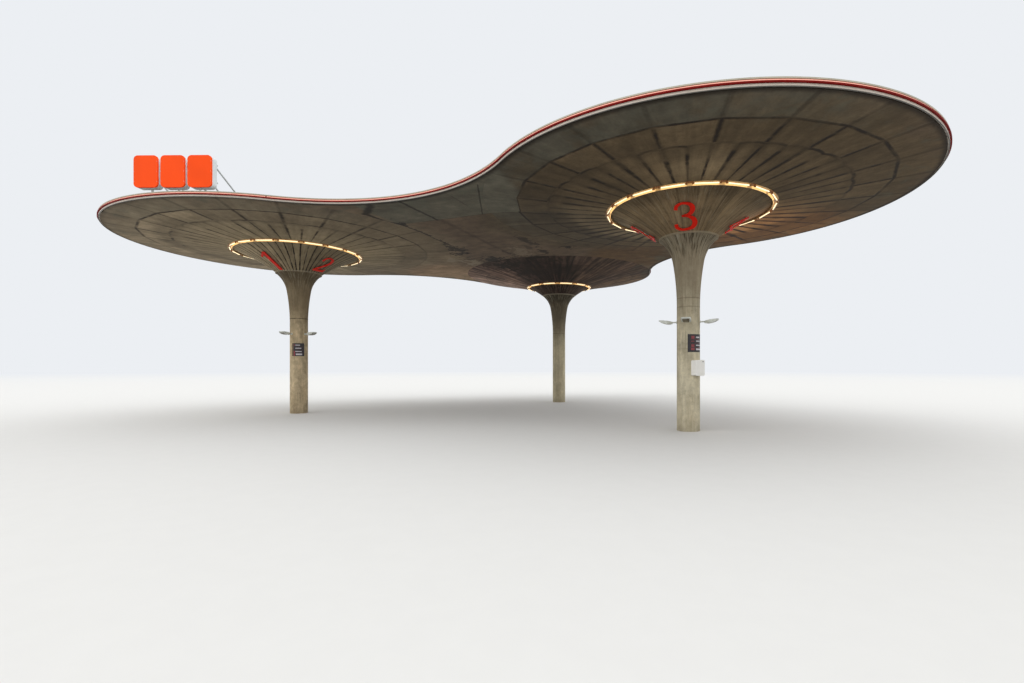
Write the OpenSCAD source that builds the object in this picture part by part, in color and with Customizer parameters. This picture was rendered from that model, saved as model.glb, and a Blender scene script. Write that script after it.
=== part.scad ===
// Filling station canopy.
// Three concrete columns flare into mushroom heads that merge in one three-lobed roof plate.
// Front row along X, rear column towards +Y, origin on the ground under the middle of the roof.

/* [Plan] */
// Distance between the two front columns
front_spacing = 13900; // [13000:50:15000]
// Distance from the front row back to the rear column
rear_offset = 8700; // [8200:50:9400]
// Sideways shift of the rear column from the middle of the front row
rear_shift = 100; // [-400:25:400]
// Rim radius of the two front mushrooms
lobe_r = 5450; // [5100:25:5800]
// Rim radius of the rear mushroom
rear_lobe_r = 4350; // [4000:25:4600]
// Radius of the hollow curve between the front lobes
front_fillet_r = 5350; // [4600:50:6500]
// Radius of the hollow curve between the left and the rear lobe
left_fillet_r = 5700; // [4600:50:6500]
// Radius of the hollow curve between the right and the rear lobe
right_fillet_r = 4800; // [4400:50:6500]

/* [Columns] */
// Column radius
column_r = 300; // [260:5:340]
// Height of the straight shaft, up to its pour joint
shaft_h = 3300; // [3100:10:3500]
// Height of the groove in the pour joint
joint_h = 8; // [4:1:15]
// Depth of the groove in the pour joint
joint_depth = 6; // [3:1:12]
// Radius of the long curve above the pour joint
long_curve_r = 7000; // [6000:100:9000]
// Lean at which the long curve turns into the short one, in degrees from upright
curve_change = 9.9; // [8:0.1:11]
// Radius of the short curve under the head
short_curve_r = 1000; // [900:10:1150]

/* [Heads] */
// Height at which the flare ends and the head starts
lip_z = 5095; // [5050:5:5150]
// How far the lip of a front head stands out over the flare
lip_step = 25; // [15:5:60]
// Depth of the lip's upright edge
lip_h = 45; // [30:5:70]
// Radius of the head's soffit curve
head_curve_r = 5220; // [4800:20:5800]
// Slope of the head's soffit at the lip, in degrees
head_slope = 37.4; // [35:0.1:40]

/* [Roof plate] */
// Height of the rim's lower edge
rim_z = 6095; // [6050:5:6300]
// Thickness of the plate at its rim
plate_t = 105; // [90:5:150]
// Sides of the creased soffit round each column
panel_sides = 24; // [18:1:30]
// Turn of the soffit's panels, in degrees
panel_turn = -2.7; // [-7:0.1:7]
// Distance of the outer crease from the rim
outer_crease = 850; // [700:10:1000]
// Distance of the inner crease from the rim
inner_crease = 1650; // [1500:10:1800]
// How far the creases stand above a straight cone
crease_lift = 12; // [5:1:25]
// Turn from a lobe's tangent line to the joint of the flat web, in degrees
neck_turn = 9; // [8:0.5:12]

/* [Light rings] */
// Radius of the tubes' circle on the front heads
ring_r = 2140; // [2000:10:2300]
// Radius of the tubes' circle on the rear head
rear_ring_r = 1500; // [1420:10:1600]
// Number of tubes on a front head
ring_tubes = 18; // [14:1:19]
// Number of tubes on the rear head
rear_ring_tubes = 12; // [8:1:13]
// Turn of the left, right and rear rings of tubes, in degrees
ring_turns = [0, -4, 2.5];
// Length of a light tube
tube_len = 590; // [400:10:600]
// Diameter of a light tube
tube_d = 26; // [16:1:38]
// Length of the holder at each end of a tube
holder_l = 30; // [20:1:40]
// Gap between a tube and the trough's plate
tube_drop = 12; // [4:1:20]
// Reach of the trough inwards from the tubes
trough_in = 80; // [60:5:110]
// Reach of the trough outwards from the tubes
trough_out = 60; // [50:5:90]
// Height of the trough's inner wall
trough_h = 58; // [50:1:110]
// Thickness of the trough
trough_t = 10; // [6:1:15]

/* [Roof edge] */
// Depth of the edge trim in front of the concrete
edge_t = 55; // [50:1:70]
// Height of the pale band
band_h = 56; // [45:1:70]
// How far the band's face stands back from the roof's line
band_inset = 18; // [10:1:20]
// Width and height of the drip groove under the band
drip_w = 24; // [6:1:28]
// Height of the channel over the band
channel_h = 69; // [60:1:85]
// Thickness of the channel's back
channel_t = 5; // [3:1:8]
// Height of the ledge that carries the edge tube
ledge_h = 27; // [20:1:35]
// How far the ledge stands out over the roof's line
ledge_out = 15; // [5:1:25]
// Diameter of the edge tube
edge_tube_d = 30; // [20:1:34]
// How far the edge tube's middle stands inside the roof's line
edge_tube_inset = 15; // [10:1:20]
// Gap between two lengths of edge tube
edge_tube_gap = 30; // [10:5:60]
// Height of the coping
coping_h = 25; // [15:1:40]
// How far the coping's front stands inside the roof's line
coping_inset = 5; // [0:1:15]
// How far the coping's back stands inside the roof's line
coping_w = 110; // [90:5:160]

/* [Roof covering] */
// Thickness of the roof covering
cover_t = 18; // [10:1:20]
// Radius of a roof drain
drain_r = 120; // [90:5:160]

/* [Column lamps] */
// Height of the lamp arms
lamp_z = 2900; // [2700:10:3050]
// Length of a lamp arm
lamp_arm = 110; // [80:5:200]
// Diameter of a lamp arm
lamp_arm_d = 36; // [24:1:48]
// Length of a lamp head
lamp_len = 370; // [300:5:450]
// Width of a lamp head
lamp_w = 240; // [180:5:280]
// Width of a lamp head where the arm enters it
lamp_neck = 75; // [60:5:100]
// Depth of a lamp head below its arm
lamp_drop = 60; // [45:1:75]
// Height of a lamp head above its arm
lamp_rise = 30; // [24:1:40]
// Radius of the belly under a lamp head
lamp_belly_r = 470; // [430:10:700]
// Radius of the crown on a lamp head
lamp_crown_r = 1500; // [1000:50:2500]
// Upward tilt of the lamps, in degrees
lamp_tilt = 7; // [0:1:12]

/* [Column plates] */
// Facing of the display plates, in degrees
plate_facing = -48; // [-60:1:-35]
// Width of a display plate in degrees round the column
plate_arc = 80; // [60:1:100]
// Lower edge of a display plate
plate_z = 2090; // [2000:10:2200]
// Height of a display plate
plate_h = 470; // [400:10:600]
// Thickness of a display plate
plate_sheet = 5; // [3:1:8]
// Facing of the towel box, in degrees
box_facing = -40; // [-60:1:-30]
// Lower edge of the towel box
box_z = 1470; // [1300:10:1500]
// Width of the towel box
box_w = 310; // [250:5:350]
// Height of the towel box
box_h = 410; // [350:5:450]
// Depth of the towel box beyond the column
box_d = 130; // [100:5:180]
// Corner radius of the towel box
box_corner = 35; // [20:1:50]

/* [Roof sign] */
// Distance of the sign from its column
sign_reach = 5060; // [4800:10:5100]
// Bearing of the sign from its column, in degrees
sign_bearing = -77; // [-90:1:-60]
// Facing of the sign, in degrees
sign_facing = -70; // [-90:1:-60]
// Number of sign boxes
sign_count = 3; // [2:1:4]
// Width of a sign box
sign_w = 640; // [400:10:700]
// Height of a sign box
sign_h = 850; // [600:10:1000]
// Depth of a sign box
sign_d = 200; // [100:5:240]
// Corner radius of a sign box
sign_corner = 110; // [40:10:200]
// Gap between sign boxes
sign_gap = 80; // [40:5:160]
// Height of the sign boxes over the roof covering
sign_clear = 230; // [150:10:300]
// Width of the sign frame's square tube
sign_bar = 40; // [30:1:60]
// How far back the rakers reach
raker_reach = 1800; // [1200:20:2200]
// Distance between the two rakers behind an outer box
raker_spread = 460; // [300:10:540]

/* [Hidden] */

// Smoothness of round forms and of the wide arcs in the plan
round_fn = 96;
arc_fn = 720;
profile_fn = 360;
// Running clearance between a tube and what holds it
seat_gap = 0.3;
// How far the fillet centres are drawn in for the plan's straight sides
tangent_ease = 60;

// Column centres, with the whole roof centred on the origin
front_y = -(rear_offset + rear_lobe_r - lobe_r) / 2;
left_c = [-front_spacing / 2, front_y];
right_c = [front_spacing / 2, front_y];
rear_c = [rear_shift, front_y + rear_offset];

// Point outside the line from a to b, at distance ra from a and rb from b
function outer_meet(a, ra, b, rb) =
    let (d = norm(b - a), u = (b - a) / d,
         along = (d * d + ra * ra - rb * rb) / (2 * d),
         out = sqrt(ra * ra - along * along))
    a + along * u + out * [u[1], -u[0]];

front_fillet_c = outer_meet(left_c, lobe_r + front_fillet_r, right_c, lobe_r + front_fillet_r);
right_fillet_c = outer_meet(right_c, lobe_r + right_fillet_r, rear_c, rear_lobe_r + right_fillet_r);
left_fillet_c = outer_meet(rear_c, rear_lobe_r + left_fillet_r, left_c, lobe_r + left_fillet_r);

plate_top = rim_z + plate_t;
cover_top = plate_top + cover_t;
band_top = rim_z + band_h;
tube_z = band_top + ledge_h + seat_gap + edge_tube_d / 2;
// The coping clears the edge tube and the roof plate, however thick they are
coping_z = max(band_top + channel_h, tube_z + edge_tube_d / 2 + seat_gap, plate_top + 5);
channel_back = coping_z - band_top;

// Flare curves: end of the long curve and centre of the short one
change_r = column_r + long_curve_r * (1 - cos(curve_change));
change_z = shaft_h + long_curve_r * sin(curve_change);
short_c = [change_r + short_curve_r * cos(curve_change), change_z - short_curve_r * sin(curve_change)];
flare_top_r = short_c[0] - sqrt(pow(short_curve_r, 2) - pow(lip_z - short_c[1], 2));

// A head is given by its tubes' radius, and by the step and the height of its lip
front_head = [ring_r, lip_step, lip_h];
rear_head = [rear_ring_r, 0, 0];

// Centre of a head's soffit curve, and the height of the flat seat where the curve meets the light trough
function curve_c(head) = [
    flare_top_r + head[1] + head_curve_r * sin(head_slope),
    lip_z + head[2] - head_curve_r * cos(head_slope)
];
function seat_z(head) =
    let (c = curve_c(head))
    c[1] + sqrt(pow(head_curve_r, 2) - pow(head[0] - trough_in - c[0], 2));

// Soffit height at a distance r from a column, on a straight line from the light ring to the rim
function cone_z(r, head, rim_r) =
    let (start = head[0] + trough_out)
    seat_z(head) + (rim_z - seat_z(head)) * (r - start) / (rim_r - start);

// Fillet centre drawn in a little, so that the plan's straight sides miss the tangent points
function drawn_in(c) = c * (1 - tangent_ease / norm(c));

// Outline of the roof plate, moved in by inset
module roof_outline(inset) {
    difference() {
        polygon([
            left_c, drawn_in(front_fillet_c), right_c, drawn_in(right_fillet_c),
            rear_c, drawn_in(left_fillet_c)
        ]);
        translate(front_fillet_c) circle(front_fillet_r + inset, $fn = arc_fn);
        translate(right_fillet_c) circle(right_fillet_r + inset, $fn = arc_fn);
        translate(left_fillet_c) circle(left_fillet_r + inset, $fn = arc_fn);
    }
    translate(left_c) circle(lobe_r - inset, $fn = arc_fn);
    translate(right_c) circle(lobe_r - inset, $fn = arc_fn);
    translate(rear_c) circle(rear_lobe_r - inset, $fn = arc_fn);
}

// Bearing of point b seen from point a, and point c moved out along a bearing
function bearing(a, b) = atan2(b[1] - a[1], b[0] - a[0]);
function along(c, a, reach) = c + reach * [cos(a), sin(a)];

// Part of a lobe's plan: its circle and the corners where the rim runs into the hollow curves.
// The necks are the bearings of the tangent lines, each with the side on which the web lies.
module lobe_plan(centre, rim_r, necks) {
    translate(centre) circle(rim_r, $fn = arc_fn);
    for (n = necks)
        polygon([
            centre,
            along(centre, n[0] + neck_turn * min(n[1], -n[1] / 2), rim_r + 2 * coping_w),
            along(centre, n[0] + neck_turn * max(n[1], -n[1] / 2), rim_r + 2 * coping_w)
        ]);
}

// Ring that follows the roof's edge, between two insets
module edge_ring(from, to, z, h) {
    translate([0, 0, z]) linear_extrude(h) difference() {
        roof_outline(from);
        roof_outline(to);
    }
}

// Columns and heads

module column(centre) {
    color([0.66, 0.62, 0.53]) translate(centre) {
        cylinder(h = shaft_h - joint_h, r = column_r, $fn = round_fn);
        cylinder(h = shaft_h, r = column_r - joint_depth, $fn = round_fn);
    }
}

module flare(centre) {
    color([0.63, 0.59, 0.50]) translate(centre) rotate_extrude($fn = round_fn) difference() {
        translate([0, shaft_h]) square([flare_top_r, lip_z - shaft_h]);
        intersection() {
            translate([column_r + long_curve_r, shaft_h]) circle(long_curve_r, $fn = profile_fn);
            square([flare_top_r, change_z]);
        }
        translate(short_c) circle(short_curve_r, $fn = profile_fn);
    }
}

module mushroom_head(centre, head) {
    outer = head[0] + trough_out;
    inner = head[0] - trough_in;
    seat = seat_z(head);
    lip_r = flare_top_r + head[1];
    lip_top = lip_z + head[2];
    color([0.52, 0.48, 0.41]) translate(centre) rotate_extrude($fn = round_fn) difference() {
        translate([0, lip_z]) square([outer, plate_top - lip_z]);
        translate([lip_r, 0]) square([outer, lip_top]);
        translate([inner - seat_gap, 0]) square([outer, seat]);
        intersection() {
            translate(curve_c(head)) circle(head_curve_r, $fn = profile_fn);
            translate([lip_r / 2, lip_top]) square([outer, seat - lip_top]);
        }
    }
}

// Ring with straight sides whose section runs through the given [radius, height] points
module creased_ring(section) {
    n = panel_sides;
    m = len(section);
    points = [for (p = section) for (i = [0 : n - 1])
        [p[0] * cos(panel_turn + 360 * i / n), p[0] * sin(panel_turn + 360 * i / n), p[1]]];
    faces = [for (k = [0 : m - 1]) for (i = [0 : n - 1])
        [k * n + i, ((k + 1) % m) * n + i, ((k + 1) % m) * n + (i + 1) % n, k * n + (i + 1) % n]];
    polyhedron(points, faces);
}

module saucer(centre, head, rim_r) {
    start_r = head[0];
    crease_r = rim_r - inner_crease;
    color([0.45, 0.41, 0.35]) translate(centre) difference() {
        creased_ring([
            [start_r, cone_z(start_r, head, rim_r)],
            [crease_r, cone_z(crease_r, head, rim_r) + crease_lift],
            [crease_r, plate_top],
            [start_r, plate_top]
        ]);
        cylinder(h = plate_top + cover_t, r = start_r + trough_out, $fn = round_fn);
    }
}

module rim_slab(centre, head, rim_r, necks) {
    inner_r = rim_r - inner_crease;
    outer_r = rim_r - outer_crease;
    past_r = rim_r + outer_crease;
    outer_z = cone_z(outer_r, head, rim_r) + crease_lift;
    past_z = outer_z + (rim_z - outer_z) * (past_r - outer_r) / (rim_r - outer_r);
    color([0.47, 0.43, 0.37]) intersection() {
        translate(centre) creased_ring([
            [inner_r, cone_z(inner_r, head, rim_r) + crease_lift],
            [outer_r, outer_z],
            [past_r, past_z],
            [past_r, plate_top],
            [inner_r, plate_top]
        ]);
        linear_extrude(plate_top + cover_t) intersection() {
            lobe_plan(centre, rim_r, necks);
            roof_outline(edge_t);
        }
    }
}

// Flat plate between the lobes, cut by the triangle of the columns

// Bearings of the tangent lines on each lobe
left_necks = [[bearing(left_c, front_fillet_c), 1], [bearing(left_c, left_fillet_c), -1]];
right_necks = [[bearing(right_c, right_fillet_c), 1], [bearing(right_c, front_fillet_c), -1]];
rear_necks = [[bearing(rear_c, left_fillet_c), 1], [bearing(rear_c, right_fillet_c), -1]];

module web_plate() {
    color([0.50, 0.46, 0.40]) translate([0, 0, rim_z]) linear_extrude(plate_t) difference() {
        intersection() {
            roof_outline(edge_t);
            children();
        }
        translate(left_c) circle(lobe_r, $fn = arc_fn);
        translate(right_c) circle(lobe_r, $fn = arc_fn);
        translate(rear_c) circle(rear_lobe_r, $fn = arc_fn);
    }
}

// Outer web between columns a and b, from the line between them to the joints with the rims
module neck_web(a, neck_a, b, neck_b) {
    reach = norm(b - a);
    web_plate() intersection() {
        polygon([a, along(a, neck_a[0] + neck_a[1] * neck_turn, reach), along(b, bearing(a, b), reach), b]);
        polygon([a, along(a, bearing(b, a), reach), along(b, neck_b[0] + neck_b[1] * neck_turn, reach), b]);
    }
}

// Light rings

// A light ring is given by its head, its number of tubes and its turn
left_ring = [front_head, ring_tubes, ring_turns[0]];
right_ring = [front_head, ring_tubes, ring_turns[1]];
rear_ring = [rear_head, rear_ring_tubes, ring_turns[2]];

// Puts its children at the middle of each tube's place on a ring
module at_tubes(ring) {
    for (i = [0 : ring[1] - 1]) rotate(360 * i / ring[1] - 90 + ring[2])
        translate([ring[0][0], 0, 0]) children();
}

module light_trough(centre, ring) {
    tubes_r = ring[0][0];
    seat = seat_z(ring[0]);
    holder_h = trough_t + tube_drop + tube_d + 6;
    color([0.80, 0.70, 0.45]) translate(centre) {
        translate([0, 0, seat - trough_t]) difference() {
            cylinder(h = trough_t, r = tubes_r + trough_out, $fn = round_fn);
            translate([0, 0, -1]) cylinder(h = trough_t + 2, r = tubes_r - trough_in, $fn = round_fn);
        }
        translate([0, 0, seat - trough_h]) difference() {
            cylinder(h = trough_h, r = tubes_r - trough_in + trough_t, $fn = round_fn);
            translate([0, 0, -1]) cylinder(h = trough_h + 2, r = tubes_r - trough_in, $fn = round_fn);
        }
        at_tubes(ring) for (side = [-1, 1])
            translate([0, side * (tube_len + holder_l) / 2, seat - holder_h / 2])
                cube([tube_d + 8, holder_l, holder_h], center = true);
    }
}

module light_tubes(centre, ring) {
    z = seat_z(ring[0]) - trough_t - tube_drop - tube_d / 2;
    color([1, 0.93, 0.75]) translate([centre[0], centre[1], z]) at_tubes(ring) rotate([90, 0, 0])
        cylinder(h = tube_len, r = tube_d / 2, center = true, $fn = 24);
}

// Roof edge

module edge_band() {
    color([0.78, 0.74, 0.70]) {
        edge_ring(band_inset, edge_t, rim_z + drip_w, band_h - drip_w);
        edge_ring(band_inset, edge_t - drip_w, rim_z, drip_w);
    }
}

// Ledge that stands out over the band and carries the edge tube, with an upright back
module edge_channel() {
    color([0.38, 0.12, 0.08]) {
        edge_ring(-ledge_out, edge_t, band_top, ledge_h);
        edge_ring(edge_t - channel_t, edge_t, band_top, channel_back);
    }
}

// Round tube along an arc about c, from the bearing of from anticlockwise to that of to,
// less half a gap at each end
module tube_arc(c, r, from, to) {
    gap_turn = edge_tube_gap / r * 180 / PI;
    start = bearing(c, from);
    sweep = (bearing(c, to) - start + 360) % 360;
    translate(c) rotate(start + gap_turn / 2) rotate_extrude(angle = sweep - gap_turn, $fn = arc_fn / 2)
        translate([r, 0]) circle(d = edge_tube_d, $fn = 20);
}

module edge_tube() {
    inset = edge_tube_inset;
    color([0.95, 0.45, 0.35]) translate([0, 0, tube_z]) {
        tube_arc(left_c, lobe_r - inset, left_fillet_c, front_fillet_c);
        tube_arc(right_c, lobe_r - inset, front_fillet_c, right_fillet_c);
        tube_arc(rear_c, rear_lobe_r - inset, right_fillet_c, left_fillet_c);
        tube_arc(front_fillet_c, front_fillet_r + inset, right_c, left_c);
        tube_arc(right_fillet_c, right_fillet_r + inset, rear_c, right_c);
        tube_arc(left_fillet_c, left_fillet_r + inset, left_c, rear_c);
    }
}

module edge_coping() {
    color([0.75, 0.73, 0.66]) {
        edge_ring(coping_inset, coping_w, coping_z, coping_h);
        edge_ring(coping_w - edge_t, coping_w, plate_top, coping_z - plate_top);
    }
}

// Roof covering and drains

module roof_covering() {
    color([0.36, 0.36, 0.35]) translate([0, 0, plate_top]) difference() {
        linear_extrude(cover_t) roof_outline(coping_w);
        for (c = [left_c, right_c, rear_c])
            translate([c[0], c[1], -1]) cylinder(h = cover_t + 2, r = drain_r, $fn = round_fn);
    }
}

module roof_drains() {
    guard_r = drain_r * 0.6;
    guard_h = 70;
    slots = 6;
    color([0.25, 0.25, 0.26]) for (c = [left_c, right_c, rear_c]) translate([c[0], c[1], plate_top]) {
        cylinder(h = cover_t, r = drain_r, $fn = round_fn);
        difference() {
            cylinder(h = cover_t + guard_h, r = guard_r, $fn = round_fn);
            for (i = [0 : slots - 1]) rotate(180 * i / slots)
                translate([-guard_r - 1, -5, cover_t + 12]) cube([2 * guard_r + 2, 10, guard_h - 28]);
        }
    }
}

// Fittings on the columns

// Plan of a lamp head: a widening neck and a round nose
module lamp_plan() {
    nose = lamp_w * 0.28;
    full_x = lamp_len * 0.35;
    nose_x = lamp_len - nose;
    polygon([[0, -lamp_neck / 2], [full_x, -lamp_w / 2], [nose_x, -lamp_w / 2],
        [nose_x, lamp_w / 2], [full_x, lamp_w / 2], [0, lamp_neck / 2]]);
    translate([nose_x, -lamp_w / 2 + nose]) square([nose, lamp_w - 2 * nose]);
    for (side = [-1, 1]) translate([nose_x, side * (lamp_w / 2 - nose)]) circle(nose, $fn = 48);
}

// Side view of a lamp head: a deep belly behind its middle and a flat crown
module lamp_profile() {
    intersection() {
        translate([lamp_len * 0.38, lamp_belly_r - lamp_drop]) circle(lamp_belly_r, $fn = profile_fn);
        translate([lamp_len / 2, lamp_rise - lamp_crown_r]) circle(lamp_crown_r, $fn = profile_fn);
    }
}

// Lamp on a short arm, pointing along +X from the column's axis
module lamp() {
    head_x = column_r + lamp_arm;
    arm_end = 30;
    boss_t = 14;
    difference() {
        translate([0, 0, lamp_z]) {
            rotate([0, 90, 0]) cylinder(h = head_x + arm_end, r = lamp_arm_d / 2, $fn = 24);
            rotate([0, 90, 0]) cylinder(h = column_r + boss_t, r = lamp_arm_d, $fn = 32);
            translate([head_x, 0, 0]) rotate([0, -lamp_tilt, 0]) intersection() {
                linear_extrude(2 * lamp_w, center = true) lamp_plan();
                rotate([90, 0, 0]) linear_extrude(2 * lamp_w, center = true) lamp_profile();
            }
        }
        cylinder(h = rim_z, r = column_r, $fn = round_fn);
    }
}

module column_lamps(centre, bearings) {
    color([0.60, 0.62, 0.60]) translate(centre) for (a = bearings) rotate(a) lamp();
}

// Curved plate wrapped round a column
module display_plate(centre) {
    reach = 2 * column_r;
    half = plate_arc / 2;
    color([0.16, 0.15, 0.17]) translate([centre[0], centre[1], plate_z]) rotate(plate_facing)
        linear_extrude(plate_h) intersection() {
            difference() {
                circle(column_r + plate_sheet, $fn = round_fn);
                circle(column_r, $fn = round_fn);
            }
            polygon([[0, 0], along([0, 0], -half, reach), along([0, 0], half, reach)]);
        }
}

// Rectangle with round corners, centred
module round_rect(w, h, r) {
    square([w - 2 * r, h], center = true);
    square([w, h - 2 * r], center = true);
    for (x = [-1, 1]) for (y = [-1, 1])
        translate([x * (w / 2 - r), y * (h / 2 - r)]) circle(r, $fn = 48);
}

module towel_box() {
    color([0.88, 0.86, 0.82]) translate(right_c) rotate(box_facing) difference() {
        translate([column_r / 2, 0, box_z + box_h / 2]) rotate([90, 0, 90])
            linear_extrude(column_r / 2 + box_d) round_rect(box_w, box_h, box_corner);
        cylinder(h = rim_z, r = column_r, $fn = round_fn);
    }
}

// Roof sign

sign_c = left_c + sign_reach * [cos(sign_bearing), sin(sign_bearing)];
sign_row = sign_count * sign_w + (sign_count - 1) * sign_gap;
sign_z = cover_top + sign_clear;

// Distance of sign box i from the middle of the row
function box_x(i) = (i + 0.5) * (sign_w + sign_gap) - (sign_row + sign_gap) / 2;

// Places what is drawn facing -Y at the sign's place on the roof
module at_sign() {
    translate(sign_c) rotate(sign_facing + 90) children();
}

module sign_boxes() {
    color([1, 0.42, 0.15]) at_sign() for (i = [0 : sign_count - 1])
        translate([box_x(i), 0, sign_z + sign_h / 2])
            rotate([90, 0, 0]) linear_extrude(sign_d, center = true) round_rect(sign_w, sign_h, sign_corner);
}

// Raker from the upper rail down to the roof covering, at distance x from the middle of the row
module raker(x, top_z) {
    w = sign_bar * 0.75;
    back = sign_d / 2 + sign_bar;
    rise = top_z - cover_top;
    intersection() {
        translate([x - w / 2, back, top_z]) rotate([180 + atan2(raker_reach, rise), 0, 0])
            translate([0, -w / 2, -sign_bar]) cube([w, w, norm([raker_reach, rise]) + 2 * sign_bar]);
        translate([x - sign_bar, back - sign_bar / 2, cover_top])
            cube([2 * sign_bar, raker_reach + 4 * sign_bar, rise + sign_bar / 2]);
    }
}

module sign_frame() {
    low_z = sign_z + sign_h * 0.2;
    high_z = sign_z + sign_h * 0.75;
    back = sign_d / 2;
    color([0.60, 0.60, 0.58]) at_sign() {
        for (z = [low_z, high_z])
            translate([-sign_row / 2, back, z]) cube([sign_row, sign_bar, sign_bar]);
        for (i = [0 : sign_count - 1]) {
            translate([box_x(i) - sign_bar / 2, back, cover_top])
                cube([sign_bar, sign_bar, high_z - cover_top]);
            for (side = i % 2 == 0 ? [-1, 1] : [0])
                raker(box_x(i) + side * raker_spread / 2, high_z + sign_bar / 2);
        }
    }
}

column(left_c);  // left_column
column(right_c);  // right_column
column(rear_c);  // rear_column
flare(left_c);  // left_flare
flare(right_c);  // right_flare
flare(rear_c);  // rear_flare
mushroom_head(left_c, front_head);  // left_head
mushroom_head(right_c, front_head);  // right_head
mushroom_head(rear_c, rear_head);
saucer(left_c, front_head, lobe_r);  // left_saucer
saucer(right_c, front_head, lobe_r);  // right_saucer
saucer(rear_c, rear_head, rear_lobe_r);  // rear_saucer
rim_slab(left_c, front_head, lobe_r, left_necks);  // left_rim_slab
rim_slab(right_c, front_head, lobe_r, right_necks);  // right_rim_slab
rim_slab(rear_c, rear_head, rear_lobe_r, rear_necks);  // rear_rim_slab
neck_web(left_c, left_necks[0], right_c, right_necks[1]);  // front_web
neck_web(rear_c, rear_necks[0], left_c, left_necks[1]);  // left_web
neck_web(right_c, right_necks[0], rear_c, rear_necks[1]);  // right_web
web_plate() polygon([left_c, right_c, rear_c]);  // centre_web
light_trough(left_c, left_ring);  // left_light_trough
light_trough(right_c, right_ring);  // right_light_trough
light_trough(rear_c, rear_ring);  // rear_light_trough
light_tubes(left_c, left_ring);  // left_light_tubes
light_tubes(right_c, right_ring);  // right_light_tubes
light_tubes(rear_c, rear_ring);  // rear_light_tubes
edge_band();
edge_channel();
edge_tube();
edge_coping();
roof_covering();
roof_drains();
column_lamps(left_c, [-90, 0]);  // left_column_lamps
column_lamps(right_c, [-90, 0, 180]);  // right_column_lamps
display_plate(left_c);  // left_display_plate
display_plate(right_c);  // right_display_plate
towel_box();
sign_frame();
sign_boxes();
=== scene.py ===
import math
import bmesh
import bpy
from mathutils import Matrix, Vector


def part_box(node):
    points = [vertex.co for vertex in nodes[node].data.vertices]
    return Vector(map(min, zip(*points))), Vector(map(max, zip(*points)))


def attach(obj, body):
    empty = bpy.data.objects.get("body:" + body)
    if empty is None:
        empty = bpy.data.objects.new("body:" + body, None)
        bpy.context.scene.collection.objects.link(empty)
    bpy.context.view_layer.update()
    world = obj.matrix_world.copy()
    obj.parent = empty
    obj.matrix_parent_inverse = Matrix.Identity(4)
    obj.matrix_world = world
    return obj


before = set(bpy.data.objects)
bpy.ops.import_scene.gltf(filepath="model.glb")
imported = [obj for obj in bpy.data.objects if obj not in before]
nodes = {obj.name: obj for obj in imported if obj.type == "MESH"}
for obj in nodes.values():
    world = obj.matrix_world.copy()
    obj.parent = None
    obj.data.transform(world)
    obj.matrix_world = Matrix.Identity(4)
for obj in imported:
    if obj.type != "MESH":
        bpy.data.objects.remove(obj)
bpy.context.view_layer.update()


def middleOf(node):
    low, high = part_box(node)
    return (low + high) / 2


def halfWidth(node):
    low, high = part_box(node)
    return (high.x - low.x) / 2


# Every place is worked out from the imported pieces.
# A lobe has its column's axis, the radius of its rim and that of its ring of tubes.
copingInset = 0.005
tubesInset = 0.06
lobes = {}
for side in ("left", "right", "rear"):
    axis = middleOf(side + "_column")
    lobes[side] = {"x": axis.x, "y": axis.y, "columnRadius": halfWidth(side + "_column"),
                   "headRadius": halfWidth(side + "_head"), "tubesZ": middleOf(side + "_light_tubes").z}
    lobes[side]["tubesRadius"] = lobes[side]["headRadius"] - tubesInset
copingLow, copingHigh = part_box("edge_coping")
lobes["left"]["rim"] = lobes["left"]["x"] - copingLow.x + copingInset
lobes["right"]["rim"] = copingHigh.x - lobes["right"]["x"] + copingInset
lobes["rear"]["rim"] = copingHigh.y - lobes["rear"]["y"] + copingInset

camera = {"place": (8.178, -17.313, 1.709), "turn": 20.85, "lens": 17.15,
          "axisX": 551.6, "axisY": 366.6, "imageW": 1024, "imageH": 683}


def setCamera(c):
    made = bpy.data.objects.new("camera", bpy.data.cameras.new("camera"))
    bpy.context.scene.collection.objects.link(made)
    made.location = c["place"]
    made.rotation_euler = (math.radians(90), 0, math.radians(c["turn"]))
    made.data.sensor_width = 36
    made.data.lens = c["lens"]
    made.data.shift_x = (c["imageW"] / 2 - c["axisX"]) / c["imageW"]  # the optical axis is off the middle
    made.data.shift_y = (c["axisY"] - c["imageH"] / 2) / c["imageW"]
    made.data.clip_end = 500
    bpy.context.scene.camera = made


setCamera(camera)
print("camera set")


# Small helpers for node materials

class Wire:
    # A node's output, which takes part in sums like a number and adds the node that each sum needs
    def __init__(self, socket):
        self.socket = socket

    def __add__(self, other):
        return maths("ADD", self, other)

    def __sub__(self, other):
        return maths("SUBTRACT", self, other)

    def __rsub__(self, other):
        return maths("SUBTRACT", other, self)

    def __mul__(self, other):
        return maths("MULTIPLY", self, other)

    def __truediv__(self, other):
        return maths("DIVIDE", self, other)

    def __mod__(self, other):
        return maths("FLOORED_MODULO", self, other)

    def __gt__(self, other):
        return maths("GREATER_THAN", self, other)

    def __lt__(self, other):
        return maths("LESS_THAN", self, other)

    def __abs__(self):
        return maths("ABSOLUTE", self)


def setInputs(node, values):
    for key, value in values.items():
        if isinstance(value, Wire):
            node.id_data.links.new(value.socket, node.inputs[key])
        else:
            node.inputs[key].default_value = value


def addNode(tree, kind, values, **settings):
    made = tree.nodes.new("ShaderNode" + kind)
    for key, value in settings.items():
        setattr(made, key, value)
    setInputs(made, values)
    return made


def grow(kind, values, output=0, **settings):  # a node in the tree that its wires come from
    tree = next(value.socket.id_data for value in values.values() if isinstance(value, Wire))
    return Wire(addNode(tree, kind, values, **settings).outputs[output])


def maths(operation, first, second=0.0):
    return grow("Math", {0: first, 1: second, 2: 0.0}, operation=operation)


def larger(first, second):
    return maths("MAXIMUM", first, second)


def smaller(first, second):
    return maths("MINIMUM", first, second)


def floorOf(value):
    return maths("FLOOR", value)


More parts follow.
